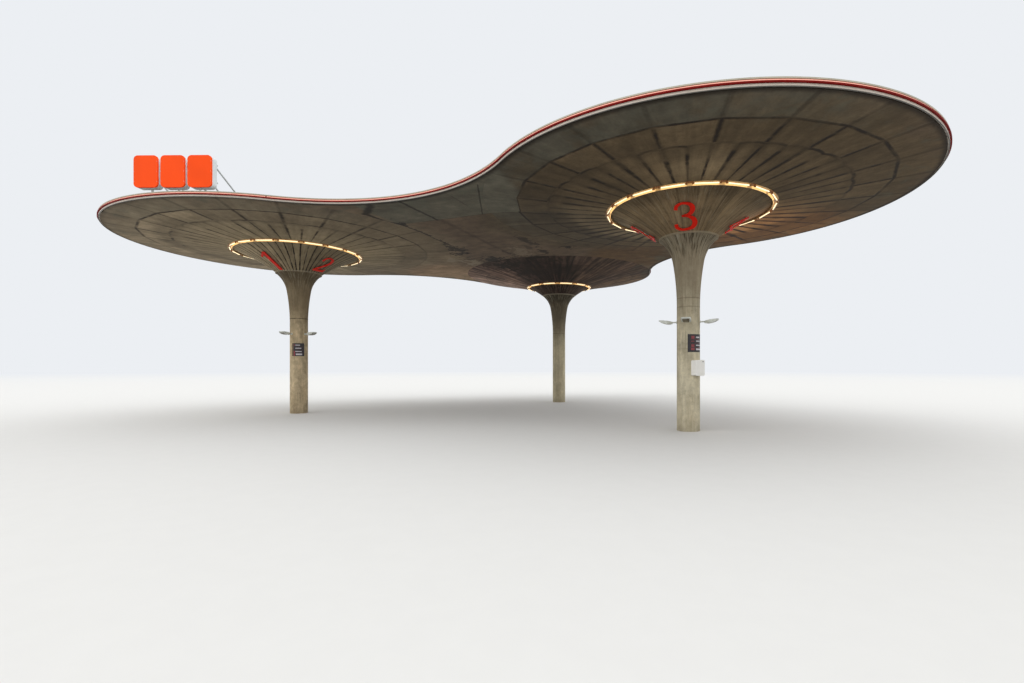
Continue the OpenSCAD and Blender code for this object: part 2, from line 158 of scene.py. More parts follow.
def fractOf(value):
    return maths("FRACT", value)


def vectors(operation, first, second=(0, 0, 0)):
    output = "Value" if operation in ("LENGTH", "DISTANCE") else "Vector"
    return grow("VectorMath", {0: first, 1: second}, output, operation=operation)


def combine(x, y, z):
    return grow("CombineXYZ", {0: x, 1: y, 2: z})


def split(place):
    made = addNode(place.socket.id_data, "SeparateXYZ", {0: place})
    return [Wire(output) for output in made.outputs]


def stretched(place, x, y, z):
    return vectors("MULTIPLY", place, (x, y, z))


def drawnOut(outward, across, far):  # stretches a pattern along the rays from an axis
    return vectors("ADD", stretched(outward, across, across, across), combine(0.0, 0.0, far))


def remap(value, low, high, outLow=0.0, outHigh=1.0, kind="SMOOTHSTEP"):
    return grow("MapRange", {0: value, 1: low, 2: high, 3: outLow, 4: outHigh}, interpolation_type=kind)


def spread(value, low, high, amount):  # brightness from 1 - amount to 1 + amount
    return remap(value, low, high, 1 - amount, 1 + amount, "LINEAR")


def noise(place, scale, detail=3.0, rough=0.55, warp=0.0):
    values = {"Vector": place, "Scale": scale, "Detail": detail, "Roughness": rough, "Distortion": warp}
    return grow("TexNoise", values, "Fac")


def chance(value, seed, layer=0.0):
    return grow("TexWhiteNoise", {"Vector": combine(value, seed, layer)}, "Value", noise_dimensions="3D")


def tint(red, green, blue):
    def toLinear(value):
        value /= 255
        return value / 12.92 if value <= 0.04045 else ((value + 0.055) / 1.055) ** 2.4
    return (toLinear(red), toLinear(green), toLinear(blue), 1)


def mixTint(amount, first, second, blend="MIX"):
    return grow("Mix", {0: amount, 6: first, 7: second}, 2, data_type="RGBA", blend_type=blend)


def lay(body, amount, colour):
    return mixTint(amount, body, tint(*colour))


def scaleTint(body, level):
    grey = combine(level, level, level) if isinstance(level, Wire) else (level, level, level, 1)
    return mixTint(1.0, body, grey, "MULTIPLY")


def dimmed(body, amount, level):
    return mixTint(amount, body, scaleTint(body, level))


def newMaterial(name):
    material = bpy.data.materials.new(name)
    material.use_nodes = True
    tree = material.node_tree
    return material, tree.nodes["Principled BSDF"], Wire(addNode(tree, "TexCoord", {}).outputs["Object"])


def coat(shader, body, rough, height, depth, shine=0.5):  # a height of 1 stands out by the depth
    bump = grow("Bump", {"Strength": 1.0, "Distance": depth, "Height": height}, "Normal")
    setInputs(shader, {"Base Color": body, "Roughness": rough, "Specular IOR Level": shine, "Normal": bump})


def dress(names, material):
    for name in names:
        mesh = nodes[name].data
        mesh.materials.clear()
        mesh.materials.append(material)


def polar(place, lobe):
    x, y, z = split(vectors("SUBTRACT", place, (lobe["x"], lobe["y"], 0)))
    flat = combine(x, y, 0.0)
    angle = maths("ARCTAN2", y, x) * (180 / math.pi)
    return vectors("LENGTH", flat), angle, vectors("NORMALIZE", flat), z


# The roof's edge in plan: a circle round each column, and hollow curves between them

hollowRadius = {"front": 5.35, "right": 4.8, "left": 5.7}


def outerMeet(first, firstReach, second, secondReach):
    gap = second - first
    u = gap.normalized()
    along = (gap.length ** 2 + firstReach ** 2 - secondReach ** 2) / (2 * gap.length)
    out = math.sqrt(firstReach ** 2 - along ** 2)
    return first + u * along + Vector((u.y, -u.x)) * out


def hollowCentre(name, first, second):
    r = hollowRadius[name]
    a, b = lobes[first], lobes[second]
    return outerMeet(Vector((a["x"], a["y"])), a["rim"] + r, Vector((b["x"], b["y"])), b["rim"] + r)


def bearing(a, b):
    return math.degrees(math.atan2(b[1] - a[1], b[0] - a[0]))


hollows = {
    "front": hollowCentre("front", "left", "right"),
    "right": hollowCentre("right", "right", "rear"),
    "left": hollowCentre("left", "rear", "left"),
}
freeArcs = {"left": ("left", "front"), "right": ("front", "right"), "rear": ("right", "left")}
for side, (first, last) in freeArcs.items():
    lobe = lobes[side]
    centre = (lobe["x"], lobe["y"])
    lobe["from"] = bearing(centre, hollows[first])
    lobe["sweep"] = (bearing(centre, hollows[last]) - lobe["from"]) % 360


def edgeDistance(place):
    nearest = 99.0
    flat = stretched(place, 1, 1, 0)
    for name, centre in hollows.items():
        nearest = smaller(nearest, vectors("DISTANCE", flat, (*centre, 0)) - hollowRadius[name])
    for lobe in lobes.values():
        radius, angle, outward, z = polar(place, lobe)
        elsewhere = (angle - lobe["from"]) % 360 > lobe["sweep"]
        nearest = smaller(nearest, abs(lobe["rim"] - radius) + elsewhere * 99)
    return nearest


# Tone of the roof's underside by its place, with painted light and shade in it: the left lobe lighter than
# the right one, and a warm painted glow of the tubes near the right ring. Each zone (place, radius from and
# to, colour) blends over what stands before it

soffitTones = {"base": (115, 98, 81), "zones": (
    ((-6.95, -3.8), 6.6, 4.4, (150, 134, 110)),
    ((-6.95, -3.8), 4.6, 2.2, (168, 151, 122)),
    ((-4.6, 2.6), 2.6, 1.2, (178, 150, 122)),
    ((-2.7, -0.6), 1.0, 0.4, (150, 132, 108)),
    ((6.95, -3.8), 6.4, 4.6, (112, 95, 71)),
    ((3.4, -3.0), 3.4, 1.4, (98, 86, 68)),
    ((8.6, -0.6), 3.4, 1.2, (158, 115, 76)),
    ((4.4, 2.0), 2.4, 1.2, (112, 88, 62)),
    ((7.3, -6.6), 1.0, 0.2, (130, 112, 86)),
)}
rearTones = {"base": (84, 68, 58), "zones": (
    ((0.4, 2.7), 2.6, 1.3, (54, 40, 34)),
    ((-2.5, 2.8), 2.5, 1.0, (138, 112, 98)),
    ((-3.3, 4.6), 2.5, 0.9, (190, 158, 140)),
    ((3.4, 3.4), 2.6, 0.8, (104, 84, 70)),
    ((2.8, 6.4), 2.2, 0.8, (130, 104, 80)),
)}


def soffitTone(place, tones):
    body = tint(*tones["base"])
    flat = stretched(place, 1, 1, 0)
    drift = (noise(place, 0.5, 3) - 0.5) * 2.4
    for at, outer, inner, colour in tones["zones"]:
        off = vectors("DISTANCE", flat, (*at, 0))
        body = lay(body, remap(off + drift, inner, outer, 1, 0), colour)
    return body


# Damp and pale stains of the roof's underside: place, half width, half length, strength

dampStains = (
    ((-1.25, 0.55), 0.45, 0.5, 0.9), ((-0.75, 1.25), 0.55, 0.35, 1.0), ((-1.6, 1.0), 0.3, 0.25, 0.6),
    ((0.6, 0.72), 0.3, 0.2, 0.95), ((1.2, 1.2), 0.3, 0.2, 0.8), ((0.2, 2.0), 1.0, 0.9, 0.55),
    ((1.3, 0.05), 0.12, 0.45, 0.8), ((-0.1, -0.3), 0.12, 0.5, 0.6), ((2.4, -0.35), 0.16, 0.14, 0.9),
    ((1.3, -1.6), 0.16, 0.7, 0.7), ((-1.75, -0.92), 0.3, 0.2, 1.0), ((-2.25, -1.6), 0.16, 0.8, 0.75),
    ((-1.65, -1.7), 0.25, 0.7, 0.8), ((-1.5, -3.9), 0.1, 1.1, 0.85), ((1.0, -0.9), 0.14, 0.3, 0.5),
    ((-0.4, 2.1), 0.4, 0.5, 0.8), ((1.6, 2.4), 0.35, 0.5, 0.4),
)
dampFlecks = (
    ((-1.1, 1.3), 1.5, 1.0, 1.0), ((-0.2, 0.6), 1.3, 0.5, 0.9), ((-2.0, -1.2), 0.6, 1.5, 0.75),
    ((1.0, 0.9), 0.9, 0.6, 0.8), ((2.3, -0.3), 0.6, 0.4, 0.8), ((0.2, 2.3), 1.8, 0.9, 0.65),
)
paleStains = (((-2.2, 0.9), 0.4, 0.7, 0.5), ((-2.95, -0.4), 0.35, 0.7, 0.45), ((0.5, -0.3), 0.3, 0.7, 0.3))


def ellipses(place, areas):
    x, y, z = split(place)
    for (atX, atY), halfX, halfY, strength in areas:
        yield vectors("LENGTH", combine((x - atX) / halfX, (y - atY) / halfY, 0.0)), strength


def stainShare(place, stains):
    rough = (noise(place, 3.6, 4, 0.66, 0.5) - 0.5) * 6.0
    drift = (noise(place, 1.1, 3, 0.6) - 0.5) * 1.2
    share = 0.0
    for off, strength in ellipses(place, stains):
        share = larger(share, remap(off + rough + drift, 0.8, 1.15, strength, 0))
    return share


def fleckShare(place, areas):
    specks = noise(stretched(place, 0.8, 1.5, 1), 4.6, 2.5, 0.58, 0.8)
    share = 0.0
    for off, strength in ellipses(place, areas):
        share = larger(share, remap(off, 0.5, 1.1, strength, 0))
    return share * remap(specks, 0.565, 0.6)


def dampened(body, place, colour):
    body = lay(body, stainShare(place, dampStains), colour)
    return lay(body, fleckShare(place, dampFlecks), colour)


# Board-marked concrete of the columns and flares

columnBoards = {"count": 22, "lift": 1.15, "firstLift": 0.17,
                "light": (216, 208, 184), "dark": (166, 155, 130), "stain": (112, 100, 80),
                "streak": (66, 54, 40), "lime": (178, 170, 150), "darkTo": 4.75}
columnLook = {  # joints: height and strength
    "left": {"clouds": 0.34, "lightingCast": (1.1, 0.97, 0.83), "upper": (128, 112, 86), "shadeDim": 0.51,
             "shadeUnderHead": 0.68, "runs": 0.4, "darkFrom": 3.15, "joints": ((3.46, 0.85), (2.2, 0.15))},
    "right": {"clouds": 0.24, "lightingCast": (1.15, 1.14, 1.11), "upper": (156, 138, 112), "shadeDim": 0.68,
              "shadeUnderHead": 0.78, "runs": 0.85, "darkFrom": 2.9,
              "joints": ((3.29, 0.28), (3.52, 0.34), (2.18, 0.15))},
    "rear": {"clouds": 0.2, "lightingCast": (1.1, 1.08, 1.0), "upper": (96, 84, 68), "shadeDim": 0.34,
             "shadeUnderHead": 0.6, "runs": 0.7, "darkFrom": 2.9, "joints": ((3.3, 0.4),)},
}


def columnConcrete(side, values, look):
    material, shader, place = newMaterial(side + "_column_concrete")
    radius, angle, outward, z = polar(place, lobes[side])
    board = angle * (values["count"] / 360)
    boardTone = chance(floorOf(board), floorOf((z + values["firstLift"]) / values["lift"]))
    toJoint = 0.5 - abs(fractOf(board) - 0.5)
    streakPlace = drawnOut(outward, 4, z * 0.7)
    streaks = noise(streakPlace, 2.0, 5, 0.6, 0.4)
    fine = noise(place, 34, 4, 0.6)
    blots = noise(stretched(place, 1, 1, 0.45), 5.5, 4, 0.62)
    clouds = noise(place, 1.3, 3, 0.5)
    level = remap(boardTone * 0.2 + streaks * 0.5 + blots * 0.45 + clouds * 0.35, 0.42, 1.02, kind="LINEAR")
    body = mixTint(level, tint(*values["dark"]), tint(*values["light"]))
    # broad damp clouds
    depth = look["clouds"]
    damp = noise(stretched(place, 1, 1, 0.4), 3.2, 5, 0.6, 0.5) * 0.6 + noise(place, 9, 5, 0.7) * 0.4
    body = scaleTint(body, remap(damp, 0.36, 0.64, 1 - depth * 1.3, 1 + depth * 0.7, "LINEAR"))
    # painted light and shade: each column is tinted by how it is lit, the left one browner as it stands in
    # shade
    body = mixTint(1.0, body, (*look["lightingCast"], 1), "MULTIPLY")
    # painted shade: browner and darker from above the lamps to the head, where less light comes up from the
    # ground
    high = remap(z + clouds * 0.8, look["darkFrom"], values["darkTo"])
    body = dimmed(body, high * 0.92, look["shadeDim"])
    body = lay(body, high * 0.5, look["upper"])
    body = lay(body, remap(fine, 0.54, 0.78, 0, 0.3), values["stain"])
    seam = remap(toJoint + (blots - 0.5) * 0.05, 0.015, 0.07, 1, 0)
    seam = seam * remap(noise(place, 1.7, 2), 0.42, 0.62, 0.0, 0.5)
    body = dimmed(body, seam, 0.45)
    # dark runs under the head, partly stains and partly painted shadow of the head, with pale lime runs
    # between them
    runs = noise(streakPlace, 3.8, 5, 0.64)
    darkRuns = remap(z, 4.2, 4.95) * remap(runs, 0.47, 0.61, 0, look["runs"])
    body = lay(body, darkRuns, values["streak"])
    # painted shadow: darker just under the head
    body = scaleTint(body, remap(z, 4.55, 4.98, 1, look["shadeUnderHead"]))
    limeRuns = remap(z, 3.9, 4.9) * remap(runs, 0.45, 0.33, 0, 0.6)
    body = lay(body, limeRuns, values["lime"])
    for jointZ, strength in look["joints"]:
        ragged = abs(z - jointZ) + (blots - 0.5) * 0.03
        body = lay(body, remap(ragged, 0.005, 0.022, 1, 0) * strength, values["streak"])
    body = lay(body, remap(z + clouds * 0.25, 0.1, 0.45, 0.35, 0), values["stain"])
    pits = grow("TexVoronoi", {"Vector": place, "Scale": 15.0}, "Distance")
    pit = remap(pits, 0.05, 0.12, 1, 0)
    body = lay(body, pit * 0.5, values["stain"])
    coat(shader, body, 0.86, boardTone * 0.35 + fine * 0.35 - seam * 0.6 - pit, 0.004, 0.3)
    return material


for side in lobes:
    dress([side + "_column", side + "_flare"], columnConcrete(side, columnBoards, columnLook[side]))
print("column concrete")


# Board-marked concrete of the heads, saucers and rims: boards that fan out round each column

soffit = {"turn": -2.7, "wideStep": 15, "narrowStep": 7.5, "innerCrease": 1.65, "outerCrease": 0.85,
          "scallop": 0.045, "lipTop": 5.139, "shade": 0.36,
          "seam": (39, 30, 22), "green": (104, 106, 92), "grey": (96, 95, 84), "lime": (176, 166, 144)}
# The front slab between the two front lobes is paler, with a straight edge at the joint
webSlab = {"fromX": -1.5, "toX": 3.3, "fromY": -8.0, "toY": -4.9, "tint": (113, 109, 95)}
# Patches of light and shade: bearing, half the turn they cover, radius from and to, brightness
lobeLook = {
    "left": {"tones": soffitTones, "contrast": 0.9, "seams": 1.0, "seamsAt": -65, "seamsLeast": 0.35,
             "valleyShading": 0.45, "seamWide": 0.72, "coneSeams": 2.0,
             "edge": 0.35, "streaks": 0.12, "mottle": 0.22, "green": 0.35, "greenAt": -75,
             "patches": ((180, 95, 0.5, 2.15, 1.5), (5, 60, 0.5, 2.15, 0.72), (112, 28, 0.5, 2.15, 0.6),
                         (-165, 100, 4.2, 5.8, 1.5), (0, 180, 4.3, 5.8, 1.05), (-90, 85, 4.1, 5.8, 1.1))},
    "right": {"tones": soffitTones, "contrast": 1.1, "seams": 1.15, "seamsAt": 90, "seamsLeast": 0.95,
              "valleyShading": 1.0, "seamWide": 1.0, "coneSeams": 0.35,
              "edge": 0.9, "streaks": 0.12, "mottle": 0.22, "green": 0.75, "greenAt": -115,
              "patches": ((90, 240, 0.5, 1.75, 1.7), (115, 125, 1.5, 3.3, 2.1), (-78, 34, 2.1, 3.2, 1.35),
                          (-135, 26, 2.2, 4.7, 0.8), (90, 180, 4.6, 5.8, 1.05), (-110, 75, 4.5, 5.8, 1.13))},
    "rear": {"tones": rearTones, "contrast": 1.4, "seams": 0.3, "seamsAt": 90, "seamsLeast": 1.0,
             "valleyShading": 0.5, "seamWide": 1.0, "coneSeams": 0.5,
             "edge": 0.6, "streaks": 0.75, "mottle": 0.34, "green": 0.0, "greenAt": 0, "patches": ()},
}


def slabShare(place, values):
    x, y, z = split(place)
    begins = remap(x, values["fromX"] - 0.2, values["fromX"])
    ends = remap(x, values["toX"] - 0.3, values["toX"], 0.9, 0)
    return begins * ends * ((y > values["fromY"]) * (y < values["toY"]))


def speckled(body, fine):
    return dimmed(body, remap(fine, 0.48, 0.72, 0, 0.36), 0.5)


def greenishShare(place, edge, low, high, inner, outer):
    return remap(noise(place, 1.7, 5, 0.66, 0.5), low, high) * remap(edge, inner, outer)


def fanConcrete(side, values, look):
    material, shader, place = newMaterial(side + "_soffit_concrete")
    lobe = lobes[side]
    radius, angle, outward, z = polar(place, lobe)
    turned = angle - values["turn"]
    wide = turned / values["wideStep"]
    narrow = turned / values["narrowStep"]
    reach = radius * maths("COSINE", (fractOf(wide) - 0.5) * math.radians(values["wideStep"]))
    flatness = math.cos(math.radians(values["wideStep"] / 2))
    creaseIn = (lobe["rim"] - values["innerCrease"]) * flatness
    creaseOut = (lobe["rim"] - values["outerCrease"]) * flatness
    inside = reach < creaseIn
    outside = reach > creaseOut

    def toLine(boards, step):
        return (0.5 - abs(fractOf(boards) - 0.5)) * math.radians(step) * radius

    def lineStrength(boards, seed):
        return chance(maths("ROUND", boards), seed)

    def shaky(line, amount):
        return line + (ragged - 0.5) * amount

    def facing(bearingOf, low, high, least=0.0):
        return remap(maths("COSINE", (angle - bearingOf) * (math.pi / 180)), low, high, least, 1)

    ragged = noise(place, 6, 5, 0.68)
    patchy = noise(place, 0.9, 4, 0.6)
    fine = noise(place, 24, 4, 0.62)
    # inside the ring of tubes the seams have a strength of their own
    cone = remap(radius, lobe["headRadius"] - 0.25, lobe["headRadius"] - 0.08, 1, 0)
    coneSeams = remap(cone, 0, 1, 1, look["coneSeams"], "LINEAR")
    # seams between the narrow boards, widest at the inner crease, some of them ending short of it
    fromRing = remap(radius, lobe["headRadius"], creaseIn, 0.5, 1.25, "LINEAR")
    width = remap(lineStrength(narrow, 3.0), 0.1, 1, 0.05, 0.1, "LINEAR") * (fromRing * look["seamWide"])
    width = width * remap(facing(135, -0.1, 0.6), 0, 1, 1, 1.5, "LINEAR")
    narrowSeam = remap(shaky(toLine(narrow, values["narrowStep"]), 0.06), width * 0.2, width, 1, 0)
    fading = remap(fromRing + lineStrength(narrow, 11.0), 0.7, 1.3, 0.5, 1)
    short = creaseIn - lineStrength(narrow, 19.0) * 0.5
    ending = remap(radius, short - 0.15, short, 1, 0.3)
    narrowSeam = narrowSeam * fading * (inside * ending)
    # seams between the wide panels, bold between the creases and faint beyond them
    wideLine = shaky(toLine(wide, values["wideStep"]), 0.07)
    boldSeam = remap(wideLine, 0.008, 0.08, 1, 0) * (1 - inside - outside)
    faintSeam = remap(wideLine, 0.02, 0.08, 0.42, 0) * outside
    wideSeam = larger(boldSeam, faintSeam)
    # the boards end at the inner crease in shallow arches
    narrowPart = (fractOf(narrow) - 0.5) * 2
    arched = reach + narrowPart * narrowPart * values["scallop"]
    innerLine = remap(shaky(abs(arched - creaseIn), 0.04), 0.014, 0.06, 1, 0)
    innerLine = innerLine * remap(chance(floorOf(narrow), 23.0), 0.2, 0.5, 0.35, 1)
    innerLine = innerLine * remap(patchy, 0.35, 0.6, 0.35, 0.95)
    outerLine = remap(shaky(abs(reach - creaseOut), 0.03), 0.014, 0.055, 1, 0)
    outerLine = outerLine * remap(patchy, 0.3, 0.55, 0.65, 1)
    underArch = creaseIn - arched
    shadow = remap(underArch, 0.0, 0.32, 0.5, 0) * (underArch > 0.0)
    seams = larger(larger(narrowSeam, wideSeam), larger(innerLine, outerLine))
    seams = seams * remap(noise(place, 2.6, 4), 0.35, 0.55, 0.55, 1) * coneSeams
    seams = seams * (facing(look["seamsAt"], -0.2, 0.5, look["seamsLeast"]) * look["seams"])
    # painted shade: soft dark shading that deepens towards each narrow seam, as light grazing the boards
    # would give, strongest towards bearing 100
    valleyShade = remap(abs(narrowPart), 0.3, 1.0, 0, look["valleyShading"]) * inside * facing(100, -0.3, 0.5, 0.35)
    valleyShade = valleyShade * remap(lineStrength(narrow, 31.0), 0.0, 1.0, 0.35, 1, "LINEAR") * coneSeams
    # tone of each board and panel, blots drawn out along the boards, and clouds
    boardTone = chance(floorOf(narrow), 7.0)
    panelTone = chance(floorOf(wide), inside + outside * 2, 5.0)
    blots = noise(drawnOut(outward, 7, radius * 0.9), 1.3, 5, 0.62, 0.4)
    level = blots * 0.6 + patchy * 0.6 + panelTone * 0.26 + boardTone * inside * 0.27
    level = spread(level, 0.48, 1.12, values["shade"] * look["contrast"])
    level = level * spread(noise(place, 3.5, 6, 0.72), 0.3, 0.7, look["mottle"])
    rays = noise(drawnOut(outward, 18, radius * 0.5), 1.2, 4, 0.6, 0.3)
    level = level * remap(rays, 0.32, 0.68, 1 - look["streaks"], 1 + look["streaks"])
    wanders = radius + (patchy - 0.5) * 0.5
    for bearingOf, half, near, far, gain in look["patches"]:
        share = remap(wanders, near - 0.2, near + 0.2) * remap(wanders, far - 0.3, far + 0.1, 1, 0)
        if half < 180:
            outer, inner = math.cos(math.radians(half)), math.cos(math.radians(half * 0.4))
            share = share * facing(bearingOf, outer, inner)
        level = level * (share * (gain - 1) + 1)
    body = speckled(scaleTint(soffitTone(place, look["tones"]), level), fine)
    body = dimmed(body, shadow, 0.5)
    body = dimmed(body, valleyShade, 0.38)
    # greenish patches in the rim
    edge = edgeDistance(place)
    body = lay(body, greenishShare(place, edge, 0.5, 0.66, 1.3, 0.4) * 0.45, values["green"])
    grey = outside * facing(look["greenAt"], 0.1, 0.8) * look["green"] * remap(patchy, 0.35, 0.6, 0.4, 1)
    body = mixTint(grey, body, scaleTint(tint(*values["grey"]), level))
    body = lay(body, seams * 0.92, values["seam"])
    if side == "right":
        slab = slabShare(place, webSlab) * outside
        body = mixTint(slab, body, scaleTint(tint(*webSlab["tint"]), level))
    if side == "rear":
        body = dampened(body, place, values["seam"])
    # inside the ring of tubes pale and dark streaks run down to the column
    runs = noise(drawnOut(outward, 26, radius * 1.1), 1.9, 6, 0.7, 0.3)
    body = lay(body, cone * remap(runs, 0.52, 0.66, 0, 0.4), values["lime"])
    body = lay(body, cone * remap(runs, 0.34, 0.46, 0.42, 0), values["seam"])
    # painted highlight: the head's lip below lipTop is paler
    body = lay(body, (z < values["lipTop"]) * 0.55, values["lime"])
    # painted shadow: darker along the roof's edge, behind the edge band
    body = lay(body, remap(shaky(edge, 0.08), 0.06, 0.2, look["edge"], 0), values["seam"])
    coat(shader, body, 0.88, boardTone * 0.5 + fine * 0.3 - seams * 0.9, 0.006, 0.3)
    return material


for side in lobes:
    dress([side + "_head", side + "_saucer", side + "_rim_slab"], fanConcrete(side, soffit, lobeLook[side]))
print("soffit concrete")


# Flat concrete of the webs, with the joints and damp stains of the soffit

web = {"shade": 0.42, "mottle": 0.22, "green": (106, 108, 94), "seam": (32, 26, 20), "lime": (186, 170, 146)}
webJoints = (  # start, end, half width, strength
    ((-1.5, -1.9), (-1.5, -4.9), 0.035, 0.8),
    ((-1.5, -4.9), (-1.78, -5.3), 0.09, 1.0),
    ((-1.78, -5.3), (-1.8, -6.1), 0.09, 1.0),
    ((-1.8, -6.1), (-1.2, -6.62), 0.13, 1.0),
    ((-0.2, -4.9), (-0.22, -6.6), 0.06, 0.9),
    ((-0.1, -1.1), (-0.1, -4.9), 0.1, 0.35),
    ((1.32, -4.9), (2.32, -6.95), 0.022, 0.8),
    ((-0.7, -4.9), (2.45, -4.9), 0.03, 0.4),
    ((1.3, -5.7), (1.3, -6.5), 0.03, 0.35),
)


def jointShare(place, joints, shake):
    x, y, z = split(place)
    seams = 0.0
    for start, end, half, strength in joints:
        length = math.dist(start, end)
        ux, uy = (end[0] - start[0]) / length, (end[1] - start[1]) / length
        fromX = x - start[0]
        fromY = y - start[1]
        run = fromX * ux + fromY * uy
        off = abs(fromX * -uy + fromY * ux + shake * (0.05 + half))
        line = remap(off, half * 0.35, half * 1.25, strength, 0)
        seams = larger(seams, line * ((run > -half) * (run < length + half)))
    return seams


def flatConcrete(values, joints):
    material, shader, place = newMaterial("web_concrete")
    shake = noise(place, 5, 5, 0.66) - 0.5
    patchy = noise(place, 0.9, 4, 0.6)
    fine = noise(place, 24, 4, 0.62)
    blots = noise(stretched(place, 0.5, 1.5, 1), 1.8, 5, 0.62, 0.4)
    level = spread(blots * 0.6 + patchy * 0.7, 0.4, 0.9, values["shade"])
    level = level * spread(noise(place, 3.5, 6, 0.72), 0.3, 0.7, values["mottle"])
    body = lay(soffitTone(place, soffitTones), slabShare(place, webSlab), webSlab["tint"])
    body = speckled(scaleTint(body, level), fine)
    edge = edgeDistance(place)
    # greenish patches near the edge
    body = lay(body, greenishShare(place, edge, 0.48, 0.64, 2.0, 0.5) * 0.5, values["green"])
    body = lay(body, stainShare(place, paleStains), values["lime"])
    seams = jointShare(place, joints, shake)
    body = lay(body, seams * 0.9, values["seam"])
    body = dampened(body, place, values["seam"])
    # painted shadow: darker along the roof's edge, behind the edge band
    body = lay(body, remap(edge + shake * 0.08, 0.06, 0.2, 0.85, 0), values["seam"])
    coat(shader, body, 0.88, fine * 0.35 - seams * 0.9, 0.006, 0.3)
    return material


dress(["front_web", "left_web", "right_web", "centre_web"], flatConcrete(web, webJoints))
print("web concrete")


# Painted metal, felt, plastic and lit parts

grimeAndShadeTint = (48, 45, 38)


def paintedMetal(name, colour, dirt, rough=0.45, wear=0.25, scale=3.0, metal=0.0, bump=0.0008, shine=0.5,
                 foot=None):
    material, shader, place = newMaterial(name)
    clouds = noise(place, scale, 5, 0.6)
    fine = noise(place, scale * 30, 3, 0.6)
    body = lay(tint(*colour), remap(clouds, 0.42, 0.75, 0, wear), dirt)
    body = lay(body, remap(fine, 0.5, 0.8, 0, wear * 0.6), dirt)
    if foot is not None:  # painted shade and grime along the dripping edge
        ragged = split(place)[2] + (clouds - 0.5) * 0.012
        body = lay(body, remap(ragged, foot + 0.008, foot + 0.022, 0.92, 0), grimeAndShadeTint)
    coat(shader, body, remap(clouds, 0.3, 0.7, rough - 0.06, rough + 0.12), fine, bump, shine)
    setInputs(shader, {"Metallic": metal})
    return material


def litSurface(name, colour, glow, strength, rough=0.3, wear=0.15, scale=5.0, shine=0.5):
    material, shader, place = newMaterial(name)
    worn = remap(noise(place, scale, 3, 0.5), 0.4, 0.7, 0, wear)
    setInputs(shader, {"Base Color": lay(tint(*colour), worn, [c * 0.7 for c in colour]),
                       "Emission Color": lay(tint(*glow), worn, [c * 0.85 for c in glow]),
                       "Emission Strength": strength, "Roughness": rough, "Specular IOR Level": shine})
    return material


felt = {"dark": (112, 112, 108), "light": (146, 145, 139), "grain": (86, 86, 84), "lap": (70, 70, 69),
        "damp": (78, 78, 72)}


def feltMaterial(values):  # sheets one metre wide, with laps
    material, shader, place = newMaterial("roof_felt")
    grain = noise(place, 140, 2, 0.7)
    lap = remap(abs(fractOf(split(place)[0]) - 0.5), 0.465, 0.495, 0, 0.7)
    body = mixTint(noise(place, 0.5, 5, 0.62), tint(*values["dark"]), tint(*values["light"]))
    body = lay(body, remap(grain, 0.45, 0.7, 0, 0.45), values["grain"])
    body = lay(body, lap, values["lap"])
    body = lay(body, remap(noise(place, 0.33, 4, 0.7, 0.6), 0.52, 0.66, 0, 0.5), values["damp"])
    coat(shader, body, 0.92, grain * 0.3 + lap, 0.004)
    return material


troughs = {"tubeHalf": 0.298, "holderIn": 0.03, "wallIn": 0.072, "wallOut": 0.05, "glow": (255, 206, 132),
           "glowStrength": 0.95, "paint": (200, 164, 112), "dull": (160, 126, 84), "holder": (112, 76, 42),
           "holderGlow": (76, 42, 16)}


def troughMaterial(side, count, turn, values):
    material, shader, place = newMaterial(side + "_trough_paint_and_glow")
    lobe = lobes[side]
    ringR = lobe["tubesRadius"]
    radius, angle, outward, z = polar(place, lobe)
    step = 360 / count
    slot = (angle + (90 + 360) - turn) / step
    away = abs(fractOf(slot + 0.5) - 0.5) * step
    half = math.degrees(math.asin(values["tubeHalf"] / ringR))
    holder = (away > half - 0.12) * (radius > ringR - values["holderIn"])
    worn = noise(place, 9, 3, 0.5)
    paint = lay(tint(*values["paint"]), remap(worn, 0.35, 0.7), values["dull"])
    # painted light: the side of the wall that faces the tubes glows, and the holders glow dark brown
    between = remap(away, half - 0.6, half + 0.8, 1, 0.35)
    wall = (radius > ringR - values["wallIn"]) * (radius < ringR - values["wallOut"])
    glow = lay((0, 0, 0, 1), between * wall * (1 - holder), values["glow"])
    coat(shader, lay(paint, holder, values["holder"]), 0.5, worn, 0.001)
    setInputs(shader, {"Emission Color": lay(glow, holder, values["holderGlow"]),
                       "Emission Strength": values["glowStrength"]})
    return material


rings = {"left": (18, 0), "right": (18, -4), "rear": (12, 2.5)}  # number of tubes and turn of the ring
for side, (count, turn) in rings.items():
    dress([side + "_light_trough"], troughMaterial(side, count, turn, troughs))
tubeLight = litSurface("tube_light", (255, 244, 220), (255, 238, 196), 1.25, wear=0.05)
copingMetal = paintedMetal("coping_metal", (192, 187, 168), (140, 132, 112), 0.5, 0.4, 1.6)
boxWhite = paintedMetal("box_white", (253, 251, 245), (226, 221, 210), 0.35, 0.2, 7.0, bump=0.0004)
signReturn = paintedMetal("sign_return", (236, 241, 243), (206, 212, 214), 0.4, 0.2)
dress([side + "_light_tubes" for side in lobes], tubeLight)
dress(["edge_band"], paintedMetal("band_paint", (230, 220, 206), (178, 166, 150), 0.5, 0.4, 2.4,
                                  foot=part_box("edge_band")[0].z))
dress(["edge_channel"], paintedMetal("channel_paint", (128, 10, 5), (84, 8, 5), 0.6, 0.3, shine=0.1))
dress(["edge_coping"], copingMetal)
dress(["edge_tube"], litSurface("edge_light", (240, 176, 156), (244, 166, 142), 0.42, 0.35, 0.2, 0.9))
dress(["roof_covering"], feltMaterial(felt))
dress(["roof_drains"], paintedMetal("drain_iron", (72, 70, 68), (104, 78, 58), 0.6, 0.5, 22.0, 0.6, 0.002))
dress(["left_column_lamps", "right_column_lamps"],
      paintedMetal("lamp_housing", (226, 229, 220), (164, 166, 156), 0.42, 0.3, 12.0, 0.1))
